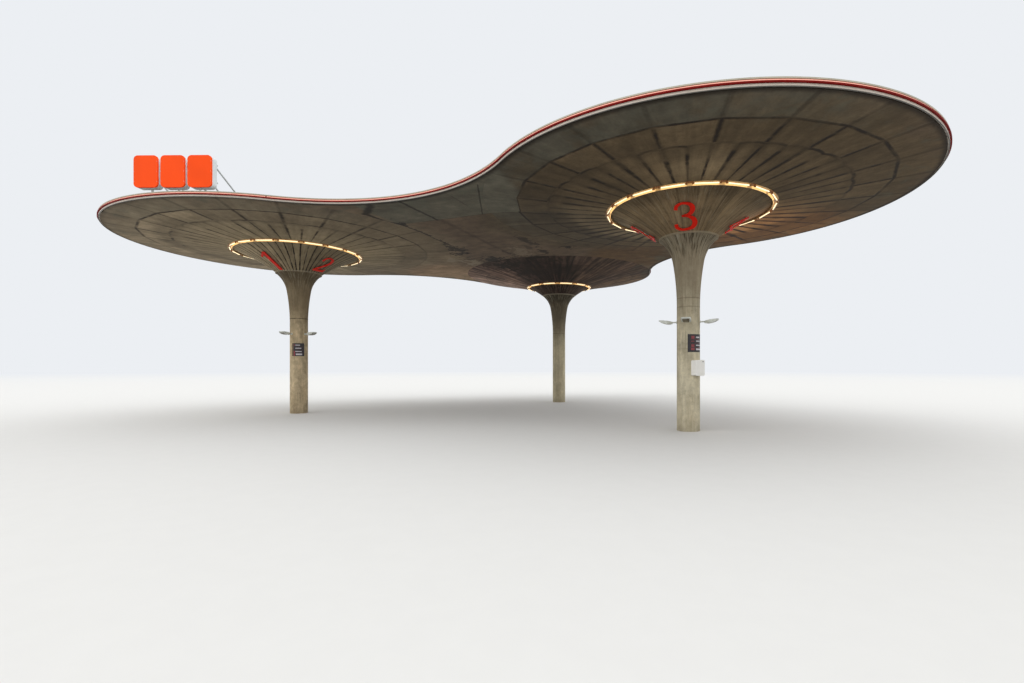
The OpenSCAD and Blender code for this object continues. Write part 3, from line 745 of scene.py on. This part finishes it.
dress(["left_display_plate", "right_display_plate"],
      paintedMetal("plate_dark", (42, 38, 42), (70, 66, 66), 0.4, 0.3, 9.0))
dress(["towel_box"], boxWhite)
dress(["sign_frame"], paintedMetal("sign_steel", (212, 216, 216), (168, 170, 168), 0.4, 0.3, 8.0, 0.1))
dress(["sign_boxes"], signReturn)
numeralRed = paintedMetal("numeral_red", (248, 36, 12), (204, 28, 12), 0.5, 0.2, 6.0, shine=0.2)
darkRubber = paintedMetal("dark_rubber", (34, 31, 30), (58, 54, 50), 0.6, 0.3, 20.0)
zincSteel = paintedMetal("zinc_steel", (170, 172, 172), (124, 124, 120), 0.38, 0.35, 30.0, 0.7)
print("painted, lit and roof materials")


# Small helpers for new pieces

def shifted(x, y, z):
    return Matrix.Translation((x, y, z))


def turned(degrees, axis):
    return Matrix.Rotation(math.radians(degrees), 4, axis)


def turnAbout(lobe, degrees, z=0.0):
    return shifted(lobe["x"], lobe["y"], z) @ turned(degrees, "Z")


def vertsOf(geometry):
    return [part for part in geometry if isinstance(part, bmesh.types.BMVert)]


def bevelParts(shape, parts, width, segments=2, affect="EDGES"):
    return bmesh.ops.bevel(shape, geom=parts, offset=width, affect=affect, segments=segments, profile=0.5,
                           material=-1)


def placeShape(shape, placing):
    bmesh.ops.transform(shape, matrix=placing, verts=shape.verts[:])


def raiseFaces(shape, vector):  # gives a flat shape its thickness
    made = bmesh.ops.extrude_face_region(shape, geom=shape.faces[:])["geom"]
    bmesh.ops.translate(shape, vec=vector, verts=vertsOf(made))


def addSolid(shape, verts, edges, placing, bevel):
    if bevel:
        faces = bevelParts(shape, edges, bevel)["faces"]
        rounded = {vert for face in faces for vert in face.verts}
        verts = list(rounded | {vert for vert in verts if vert.is_valid})
    bmesh.ops.transform(shape, matrix=placing, verts=verts)


def addBlock(shape, size, placing, bevel=0.0):
    made = bmesh.ops.create_cube(shape, size=1.0)["verts"]
    bmesh.ops.scale(shape, vec=size, verts=made)
    addSolid(shape, made, list({edge for vert in made for edge in vert.link_edges}), placing, bevel)


def addRod(shape, radius, length, placing, sides=16, bevel=0.0):
    made = bmesh.ops.create_cone(shape, cap_ends=True, segments=sides, radius1=radius, radius2=radius,
                                 depth=length)["verts"]
    edges = {edge for vert in made for edge in vert.link_edges}
    rims = [e for e in edges if abs(e.verts[0].co.z - e.verts[1].co.z) < 1e-6]
    addSolid(shape, made, rims, placing, bevel)


def addPart(shape, part):
    mesh = bpy.data.meshes.new("part")
    part.to_mesh(mesh)
    part.free()
    shape.from_mesh(mesh)
    bpy.data.meshes.remove(mesh)


def roundPanel(shape, width, height, corner, segments=8):
    made = bmesh.ops.create_grid(shape, x_segments=1, y_segments=1, size=0.5)["verts"]
    bmesh.ops.scale(shape, vec=(width, height, 1), verts=made)
    bevelParts(shape, made, corner, segments, "VERTICES")


def finishPiece(shape, name, materials):
    bmesh.ops.recalc_face_normals(shape, faces=shape.faces[:])
    mesh = bpy.data.meshes.new(name)
    shape.to_mesh(mesh)
    shape.free()
    piece = bpy.data.objects.new(name, mesh)
    bpy.context.scene.collection.objects.link(piece)
    for material in materials:
        mesh.materials.append(material)
    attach(piece, "root")


# Plain numerals on the heads: flat plates on pegs, cut from strokes of changing width

numerals = {"thick": 0.022, "bevel": 0.005, "standOff": 0.03, "highR": 1.6, "middle": 0.31,
            "pegR": 0.009, "pegLong": 0.12, "pegTop": 0.01}
strokes = {  # each point is across, up and half the width of the stroke, as shares of the height
    "1": (
        (((0.12, 0.76, 0.03), (0.2, 0.84, 0.045), (0.34, 0.95, 0.03)), False),
        (((0.38, 0.0, 0.074), (0.38, 1.0, 0.074)), False)),
    "2": (
        (((0.07, 0.7, 0.05), (0.09, 0.85, 0.045), (0.2, 0.95, 0.036), (0.35, 0.955, 0.04), (0.5, 0.87, 0.06),
          (0.53, 0.7, 0.068), (0.44, 0.5, 0.06), (0.27, 0.3, 0.05), (0.1, 0.12, 0.045)), True),
        (((0.03, 0.06, 0.06), (0.6, 0.06, 0.06)), False),
        (((0.575, 0.05, 0.03), (0.6, 0.2, 0.022)), False)),
    "3": (
        (((0.07, 0.76, 0.05), (0.1, 0.88, 0.046), (0.21, 0.96, 0.036), (0.35, 0.962, 0.036),
          (0.48, 0.89, 0.058), (0.52, 0.75, 0.068), (0.46, 0.61, 0.055), (0.34, 0.545, 0.034),
          (0.22, 0.53, 0.03)), True),
        (((0.24, 0.53, 0.03), (0.38, 0.51, 0.036), (0.52, 0.41, 0.06), (0.56, 0.26, 0.07), (0.49, 0.1, 0.058),
          (0.33, 0.035, 0.036), (0.18, 0.04, 0.038), (0.07, 0.12, 0.048), (0.05, 0.24, 0.05)), True)),
    "4": (
        (((0.43, 0.0, 0.064), (0.43, 1.0, 0.064)), False),
        (((0.4, 0.98, 0.035), (0.04, 0.33, 0.035)), False),
        (((0.0, 0.27, 0.05), (0.62, 0.27, 0.05)), False)),
}
pegs = {"1": ((0.38, 0.9), (0.38, 0.5), (0.38, 0.1)), "2": ((0.33, 0.955), (0.42, 0.48), (0.3, 0.06)),
        "3": ((0.3, 0.962), (0.3, 0.535), (0.3, 0.035)),
        "4": ((0.43, 0.9), (0.43, 0.27), (0.43, 0.06), (0.15, 0.27))}
numeralPlaces = (  # lobe, bearing, numeral, height, radius at its foot
    ("left", -88, "1", 0.88, 0.8), ("left", 0, "2", 0.78, 0.86), ("right", -88.3, "3", 0.88, 0.818),
    ("right", 182, "2", 0.78, 0.86), ("right", -2, "4", 0.68, 0.9),
)
# Soffit of the front heads between the column and the ring of tubes
headCurve = {"radius": 5.22, "centreR": 3.939, "centreZ": 0.993}


def soffitZ(r):
    return headCurve["centreZ"] + math.sqrt(headCurve["radius"] ** 2 - (r - headCurve["centreR"]) ** 2)


def smoothStroke(points, steps=6):
    held = [points[0], *points, points[-1]]
    out = []
    for i in range(1, len(held) - 2):
        before, first, second, after = (Vector(p) for p in held[i - 1:i + 3])
        for step in range(steps):
            t = step / steps
            out.append(0.5 * ((2 * first) + (second - before) * t
                              + (2 * before - 5 * first + 4 * second - after) * t ** 2
                              + (3 * first - before - 3 * second + after) * t ** 3))
    return out + [Vector(points[-1])]


def addStroke(shape, points, smooth):
    route = smoothStroke(points) if smooth else [Vector(p) for p in points]
    edge = None
    for i, point in enumerate(route):
        ahead = route[min(i + 1, len(route) - 1)] - route[max(i - 1, 0)]
        side = Vector((-ahead.y, ahead.x)).normalized() * point.z
        ends = [Vector((point.x, point.y)) + side, Vector((point.x, point.y)) - side]
        if edge is None:
            edge = shape.edges.new([shape.verts.new((end.x, end.y, 0)) for end in ends])
            continue
        made = bmesh.ops.extrude_edge_only(shape, edges=[edge])["geom"]
        edge = next(part for part in made if isinstance(part, bmesh.types.BMEdge))
        for vert, end in zip(edge.verts, ends):
            vert.co = (end.x, end.y, 0)


def makeNumeral(side, facing, numeral, height, foot, values):
    shape = bmesh.new()
    for points, smooth in strokes[numeral]:
        part = bmesh.new()
        addStroke(part, points, smooth)
        raiseFaces(part, (0, 0, values["thick"] / height))
        bmesh.ops.recalc_face_normals(part, faces=part.faces[:])
        sharp = [e for e in part.edges if len(e.link_faces) == 2 and e.calc_face_angle() > math.radians(60)]
        bevelParts(part, sharp, values["bevel"])
        addPart(shape, part)
    pegZ = values["pegTop"] - values["pegLong"] / 2
    for x, y in pegs[numeral]:
        addRod(shape, values["pegR"], values["pegLong"], shifted(x, y, pegZ), 12)
    low = Vector((foot, 0, soffitZ(foot)))
    high = Vector((values["highR"], 0, soffitZ(values["highR"])))
    up = (high - low).normalized()
    across = Vector((0, 1, 0))
    out = across.cross(up)
    placing = Matrix((across, up, out)).transposed().to_4x4()
    placing.translation = low + out * values["standOff"] - across * values["middle"] * height
    placing = turnAbout(lobes[side], facing) @ placing @ Matrix.Scale(height, 4)
    placeShape(shape, placing)
    finishPiece(shape, side + "_numeral_" + str(round(facing / 90) % 4 * 90), [numeralRed])


for side, facing, numeral, height, foot in numeralPlaces:
    makeNumeral(side, facing, numeral, height, foot, numerals)
print("numerals")


# Caps on the ends of the light tubes, their brass with a faint painted glow

tubeEnds = {"radius": 0.0145, "length": 0.024, "half": 0.295, "bevel": 0.002}
glowingCapBrass = litSurface("cap_brass_glow", (150, 108, 62), (170, 106, 44), 0.25, 0.35, 0.3, 30.0, 0.3)


def makeTubeEnds(side, count, turn, values):
    lobe = lobes[side]
    shape = bmesh.new()
    for i in range(count):
        for end in (-1, 1):
            placing = turnAbout(lobe, 360 * i / count - 90 + turn, lobe["tubesZ"])
            placing = placing @ shifted(lobe["tubesRadius"], end * (values["half"] - values["length"] / 2), 0)
            addRod(shape, values["radius"], values["length"], placing @ turned(90, "X"), 16, values["bevel"])
    finishPiece(shape, side + "_tube_ends", [glowingCapBrass])


for side, (count, turn) in rings.items():
    makeTubeEnds(side, count, turn, tubeEnds)
print("tube ends")


# Sign: blank faces in trim caps, screws, and base plates under the frame

sign = {"facing": -70, "width": 0.64, "height": 0.85, "gap": 0.08, "depth": 0.2, "corner": 0.11,
        "trim": 0.022, "proud": 0.012, "step": 0.006, "stepIn": 0.004, "crown": 0.05, "lap": 0.03,
        "overWide": 1.006, "rimBevel": 0.003, "screwR": 0.006, "screwHigh": 0.004, "screwUp": 0.62,
        "postHalf": 0.02, "rakerReach": 1.8, "rakerSpread": 0.46, "pad": 0.16, "padThick": 0.01,
        "padBevel": 0.002, "boltAt": 0.058, "boltR": 0.011, "boltHigh": 0.013, "boltZ": 0.006, "bevel": 0.001}
signFace = litSurface("sign_face", (255, 80, 10), (255, 84, 14), 0.12, 0.5, 0.15, 1.4, 0.12)
signMiddle = middleOf("sign_boxes")
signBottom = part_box("sign_boxes")[0].z
signPlacing = shifted(signMiddle.x, signMiddle.y, 0) @ turned(sign["facing"] + 90, "Z")
signPlaces = [(i - 1) * (sign["width"] + sign["gap"]) for i in range(3)]


def makeSignFace(index, x, values):
    shape = bmesh.new()
    roundPanel(shape, values["width"], values["height"], values["corner"])
    bmesh.ops.inset_region(shape, faces=shape.faces[:], thickness=values["trim"])
    inner = min(shape.faces, key=lambda face: face.calc_center_median().length - face.calc_area())
    inner.material_index = 1
    bmesh.ops.translate(shape, vec=(0, 0, values["proud"]), verts=shape.verts[:])
    bmesh.ops.inset_region(shape, faces=[inner], thickness=values["stepIn"], depth=-values["step"])
    crown = bmesh.ops.inset_region(shape, faces=[inner], thickness=values["crown"], depth=values["step"])
    for face in crown["faces"]:
        face.material_index = 1
    rim = [edge for edge in shape.edges if edge.is_boundary]
    made = bmesh.ops.extrude_edge_only(shape, edges=rim)["geom"]
    bmesh.ops.translate(shape, vec=(0, 0, -values["proud"] - values["lap"]), verts=vertsOf(made))
    bmesh.ops.contextual_create(shape, geom=[edge for edge in shape.edges if edge.is_boundary])
    atFront = [e for e in shape.edges if all(abs(vert.co.z - values["proud"]) < 1e-5 for vert in e.verts)]
    outerRim = [e for e in atFront if len(e.link_faces) == 2 and e.calc_face_angle() > 1.2]
    bevelParts(shape, outerRim, values["rimBevel"])
    bmesh.ops.scale(shape, vec=(values["overWide"], 1.0, 1), verts=shape.verts[:])
    for sx in (-1, 1):
        for sy in (-0.5, 0, 0.5):
            where = shifted(sx * (values["width"] / 2 - values["trim"] / 2),
                            sy * values["height"] * values["screwUp"], values["proud"])
            addRod(shape, values["screwR"], values["screwHigh"], where, 12, values["bevel"])
    placing = signPlacing @ shifted(x, -values["depth"] / 2, signBottom + values["height"] / 2)
    placeShape(shape, placing @ turned(90, "X"))
    finishPiece(shape, "sign_face_" + str(index + 1), [signReturn, signFace])


def makeBasePlates(values):
    shape = bmesh.new()
    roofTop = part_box("roof_covering")[1].z
    postY = values["depth"] / 2 + values["postHalf"]
    footY = values["depth"] / 2 + 2 * values["postHalf"] + values["rakerReach"]
    spots = [(x, postY) for x in signPlaces]
    for i, x in enumerate(signPlaces):
        sides = (-0.5, 0.5) if i != 1 else (0,)
        spots += [(x + s * values["rakerSpread"], footY - values["postHalf"]) for s in sides]
    at = values["boltAt"]
    for x, y in spots:
        place = signPlacing @ shifted(x, y, roofTop + values["padThick"] / 2)
        addBlock(shape, (values["pad"], values["pad"], values["padThick"]), place, values["padBevel"])
        for sx, sy in ((-at, -at), (-at, at), (at, -at), (at, at)):
            bolt = signPlacing @ shifted(x + sx, y + sy, roofTop + values["padThick"] + values["boltZ"])
            addRod(shape, values["boltR"], values["boltHigh"], bolt, 6, values["bevel"])
    finishPiece(shape, "sign_base_plates", [zincSteel])


for index, x in enumerate(signPlaces):
    makeSignFace(index, x, sign)
makeBasePlates(sign)
print("sign")


# Lamp glasses: panes that follow the belly of each lamp

lampGlass = {"nearX": 0.47, "farX": 0.735, "halfWidth": 0.088, "taper": 0.22, "headX": 0.41, "z": 2.9,
             "tilt": 7, "drop": 0.06, "bellyR": 0.47, "bellyX": 0.1406, "below": 0.003, "thick": 0.012}
glassDark = paintedMetal("lamp_glass", (116, 108, 92), (88, 82, 70), 0.2, 0.3, 10.0, bump=0.0002)
lampPlaces = {"left": (-90, 0), "right": (-90, 0, 180)}


def makeLampGlasses(side, bearings, values):
    shape = bmesh.new()
    middle = (values["nearX"] + values["farX"]) / 2 - values["headX"]
    half = (values["farX"] - values["nearX"]) / 2
    for facing in bearings:
        part = bmesh.new()
        bmesh.ops.create_grid(part, x_segments=14, y_segments=8, size=1.0)
        bmesh.ops.scale(part, vec=(half, values["halfWidth"], 1), verts=part.verts[:])
        for vert in part.verts:
            narrow = 1 - values["taper"] * (1 - vert.co.x / half) / 2
            x = vert.co.x + middle
            rise = math.sqrt(values["bellyR"] ** 2 - (x - values["bellyX"]) ** 2)
            z = values["bellyR"] - values["drop"] - rise - values["below"]
            vert.co = (x, vert.co.y * narrow, z)
        raiseFaces(part, (0, 0, values["thick"]))
        placing = turnAbout(lobes[side], facing, values["z"]) @ shifted(values["headX"], 0, 0)
        placeShape(part, placing @ turned(-values["tilt"], "Y"))
        bmesh.ops.recalc_face_normals(part, faces=part.faces[:])
        addPart(shape, part)
    finishPiece(shape, side + "_lamp_glasses", [glassDark])


for side, bearings in lampPlaces.items():
    makeLampGlasses(side, bearings, lampGlass)
print("lamp glasses")


# Rows and blocks on the display plates, without words

plate = {"facing": -48, "arc": 80, "sheet": 0.005, "thick": 0.0015, "fineness": 24}
rowTint = paintedMetal("row_white", (214, 208, 212), (168, 160, 166), 0.4, 0.25, 20.0)
blockTint = paintedMetal("block_red", (148, 60, 66), (104, 40, 46), 0.4, 0.35, 20.0)
stripeTint = paintedMetal("stripe_brown", (104, 78, 54), (74, 54, 38), 0.4, 0.35, 20.0)
markFinish = {"rows": rowTint, "blocks": blockTint, "lines": blockTint, "stripe": stripeTint}
plateMarks = {  # share of the width from and to, share of the height from and to
    "right": {
        "rows": ((0.54, 0.86, 0.79, 0.86), (0.54, 0.88, 0.58, 0.64), (0.54, 0.92, 0.35, 0.41),
                 (0.54, 0.96, 0.11, 0.2)),
        "blocks": ((0.22, 0.42, 0.74, 0.9), (0.2, 0.42, 0.585, 0.625), (0.22, 0.42, 0.28, 0.43),
                   (0.2, 0.43, 0.11, 0.23)),
        "lines": ((0.16, 0.96, 0.7, 0.708), (0.16, 0.96, 0.49, 0.498), (0.16, 0.96, 0.255, 0.263)),
    },
    "left": {
        "rows": ((0.3, 0.66, 0.82, 0.88), (0.3, 0.76, 0.58, 0.64), (0.3, 0.78, 0.33, 0.39),
                 (0.34, 0.82, 0.08, 0.2)),
        "blocks": ((0.16, 0.27, 0.0, 0.4), (0.2, 0.27, 0.8, 0.9)),
        "lines": ((0.3, 0.92, 0.7, 0.708), (0.3, 0.92, 0.47, 0.478), (0.3, 0.92, 0.25, 0.258)),
        "stripe": ((0.01, 0.15, 0.02, 0.98),),
    },
}


def addMark(shape, lobe, mark, values, low, high):  # a thin sheet wrapped round the plate
    across0, across1, up0, up1 = mark
    outerR = lobe["columnRadius"] + values["sheet"]
    start = values["facing"] - values["arc"] / 2
    part = bmesh.new()
    columns = max(2, round((across1 - across0) * values["fineness"]))
    bmesh.ops.create_grid(part, x_segments=columns, y_segments=1, size=0.5)
    for vert in part.verts:
        share = across0 + (vert.co.x + 0.5) * (across1 - across0)
        where = math.radians(start + share * values["arc"])
        z = low + (up0 + (vert.co.y + 0.5) * (up1 - up0)) * (high - low)
        vert.co = (lobe["x"] + outerR * math.cos(where), lobe["y"] + outerR * math.sin(where), z)
    bmesh.ops.recalc_face_normals(part, faces=part.faces[:])
    made = bmesh.ops.extrude_face_region(part, geom=part.faces[:])["geom"]
    for vert in vertsOf(made):
        out = Vector((vert.co.x - lobe["x"], vert.co.y - lobe["y"], 0)).normalized()
        vert.co += out * values["thick"]
    bmesh.ops.recalc_face_normals(part, faces=part.faces[:])
    addPart(shape, part)


def makePlateMarks(side, kind, marks, values):
    low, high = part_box(side + "_display_plate")
    shape = bmesh.new()
    for mark in marks:
        addMark(shape, lobes[side], mark, values, low.z, high.z)
    finishPiece(shape, side + "_plate_" + kind, [markFinish[kind]])


for side, kinds in plateMarks.items():
    for kind, marks in kinds.items():
        makePlateMarks(side, kind, marks, plate)
print("plate marks")


# Towel box: lock, slot and the lip round its cover

towel = {"facing": -40, "front": 0.43, "width": 0.31, "height": 0.41, "corner": 0.035, "lipBack": 0.045,
         "lipThick": 0.006, "lipOut": 0.003, "lockR": 0.016, "lockHigh": 0.008, "lockAside": 0.3,
         "lockUp": 0.4, "slotSize": (0.03, 0.217, 0.006), "slotBack": 0.02, "slotAside": 0.02,
         "slotUp": 0.001, "bevel": 0.002}


def makeTowelParts(values):
    low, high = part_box("towel_box")
    facing = turnAbout(lobes["right"], values["facing"], (low.z + high.z) / 2)
    shape = bmesh.new()
    lockY, lockZ = values["width"] * values["lockAside"], values["height"] * values["lockUp"]
    lock = facing @ shifted(values["front"], lockY, lockZ) @ turned(90, "Y")
    addRod(shape, values["lockR"], values["lockHigh"], lock, 20, values["bevel"])
    slotZ = -values["height"] / 2 + values["slotUp"]
    slot = facing @ shifted(values["front"] - values["slotBack"], values["slotAside"], slotZ)
    addBlock(shape, values["slotSize"], slot, values["bevel"])
    finishPiece(shape, "towel_box_fittings", [darkRubber])
    cover = bmesh.new()
    out = values["lipOut"]
    roundPanel(cover, values["height"] + 2 * out, values["width"] + 2 * out, values["corner"] + out, 6)
    raiseFaces(cover, (0, 0, values["lipThick"]))
    placeShape(cover, facing @ shifted(values["front"] - values["lipBack"], 0, 0) @ turned(90, "Y"))
    finishPiece(cover, "towel_box_lip", [boxWhite])


makeTowelParts(towel)
print("towel box")


# Joint straps on the coping, along the free rims and the hollow curves

straps = {"spacing": 2.4, "width": 0.05, "thick": 0.002, "coping": 0.11, "short": 0.004,
          "screwAt": 0.03, "screwR": 0.005, "screwHigh": 0.004, "screwUp": 0.001,
          "bevel": 0.0006}


def edgeArcs():  # middle, radius, first bearing, sweep, and the side on which the roof lies
    arcs = []
    for lobe in lobes.values():
        arcs.append(((lobe["x"], lobe["y"]), lobe["rim"], lobe["from"], lobe["sweep"], 1))
    ends = {"front": ("right", "left"), "right": ("rear", "right"), "left": ("left", "rear")}
    for name, centre in hollows.items():
        first, last = (lobes[side] for side in ends[name])
        start = bearing(centre, (first["x"], first["y"]))
        sweep = (bearing(centre, (last["x"], last["y"])) - start) % 360
        arcs.append((tuple(centre), hollowRadius[name], start, sweep, -1))
    return arcs


def makeStraps(values):
    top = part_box("edge_coping")[1].z
    shape = bmesh.new()
    length = values["coping"] - copingInset
    for centre, radius, start, sweep, side in edgeArcs():
        count = max(1, round(math.radians(sweep) * radius / values["spacing"]))
        middle = radius - side * (copingInset + length / 2)
        for i in range(count):
            placing = shifted(centre[0], centre[1], top + values["thick"] / 2)
            placing = placing @ turned(start + sweep * (i + 0.5) / count, "Z") @ shifted(middle, 0, 0)
            size = (length - values["short"], values["width"], values["thick"])
            addBlock(shape, size, placing, values["bevel"])
            for across in (-values["screwAt"], values["screwAt"]):
                screw = placing @ shifted(across, 0, values["thick"] / 2 + values["screwUp"])
                addRod(shape, values["screwR"], values["screwHigh"], screw, 8)
    finishPiece(shape, "coping_straps", [copingMetal])


makeStraps(straps)
print("coping straps")


# Stage: a pale floor that meets the pale background, and soft light

stage = {"floorRadius": 400, "floorTint": (222, 222, 220), "floorGrain": (200, 200, 198), "bounce": 0.34,
         "hazeFrom": 25, "hazeTo": 160, "sky": (236, 239, 243), "worldStrength": 1.15,
         "keyStrength": 0.6, "keyAngle": 50, "keyTilt": 48, "keyTurn": -35}


def seenShare(tree):  # what the camera sees, directly, mirrored or through glass
    rays = addNode(tree, "LightPath", {}).outputs
    indirect = larger(Wire(rays["Is Glossy Ray"]), Wire(rays["Is Transmission Ray"]))
    return larger(Wire(rays["Is Camera Ray"]), indirect)


def paleSky(tree, kind, values):
    return Wire(addNode(tree, kind, {"Color": tint(*values["sky"]), "Strength": 1.0}).outputs[0])


def makeFloor(values):
    mesh = bpy.data.meshes.new("floor")
    shape = bmesh.new()
    bmesh.ops.create_circle(shape, cap_ends=True, segments=96, radius=values["floorRadius"])
    shape.to_mesh(mesh)
    shape.free()
    floor = bpy.data.objects.new("floor", mesh)
    bpy.context.scene.collection.objects.link(floor)
    material, shader, place = newMaterial("floor")
    tree = material.node_tree
    seen = seenShare(tree)
    grain = remap(noise(place, 3, 4, 0.6), 0.3, 0.7, 0, 0.06)
    pale = lay(tint(*values["floorTint"]), grain, values["floorGrain"])
    shade = values["bounce"]
    body = mixTint(seen, (shade, shade, shade * 0.97, 1), pale)
    setInputs(shader, {"Base Color": body, "Roughness": 0.9, "Specular IOR Level": 0.1})
    haze = remap(vectors("LENGTH", place), values["hazeFrom"], values["hazeTo"]) * seen
    both = grow("MixShader", {0: haze, 1: Wire(shader.outputs[0]), 2: paleSky(tree, "Emission", values)})
    setInputs(tree.nodes["Material Output"], {"Surface": both})
    mesh.materials.append(material)


def makeLight(values):
    world = bpy.data.worlds.new("sky")
    world.use_nodes = True
    tree = world.node_tree
    back = tree.nodes["Background"]
    setInputs(back, {"Color": (1, 1, 1, 1), "Strength": values["worldStrength"]})
    pale = paleSky(tree, "Background", values)
    both = grow("MixShader", {0: seenShare(tree), 1: Wire(back.outputs[0]), 2: pale})
    setInputs(tree.nodes["World Output"], {"Surface": both})
    bpy.context.scene.world = world
    key = bpy.data.objects.new("key", bpy.data.lights.new("key", "SUN"))
    key.data.energy = values["keyStrength"]
    key.data.angle = math.radians(values["keyAngle"])
    key.rotation_euler = (math.radians(values["keyTilt"]), 0, math.radians(values["keyTurn"]))
    bpy.context.scene.collection.objects.link(key)


makeFloor(stage)
makeLight(stage)
bpy.context.scene.view_settings.view_transform = "Standard"
print("stage and light")
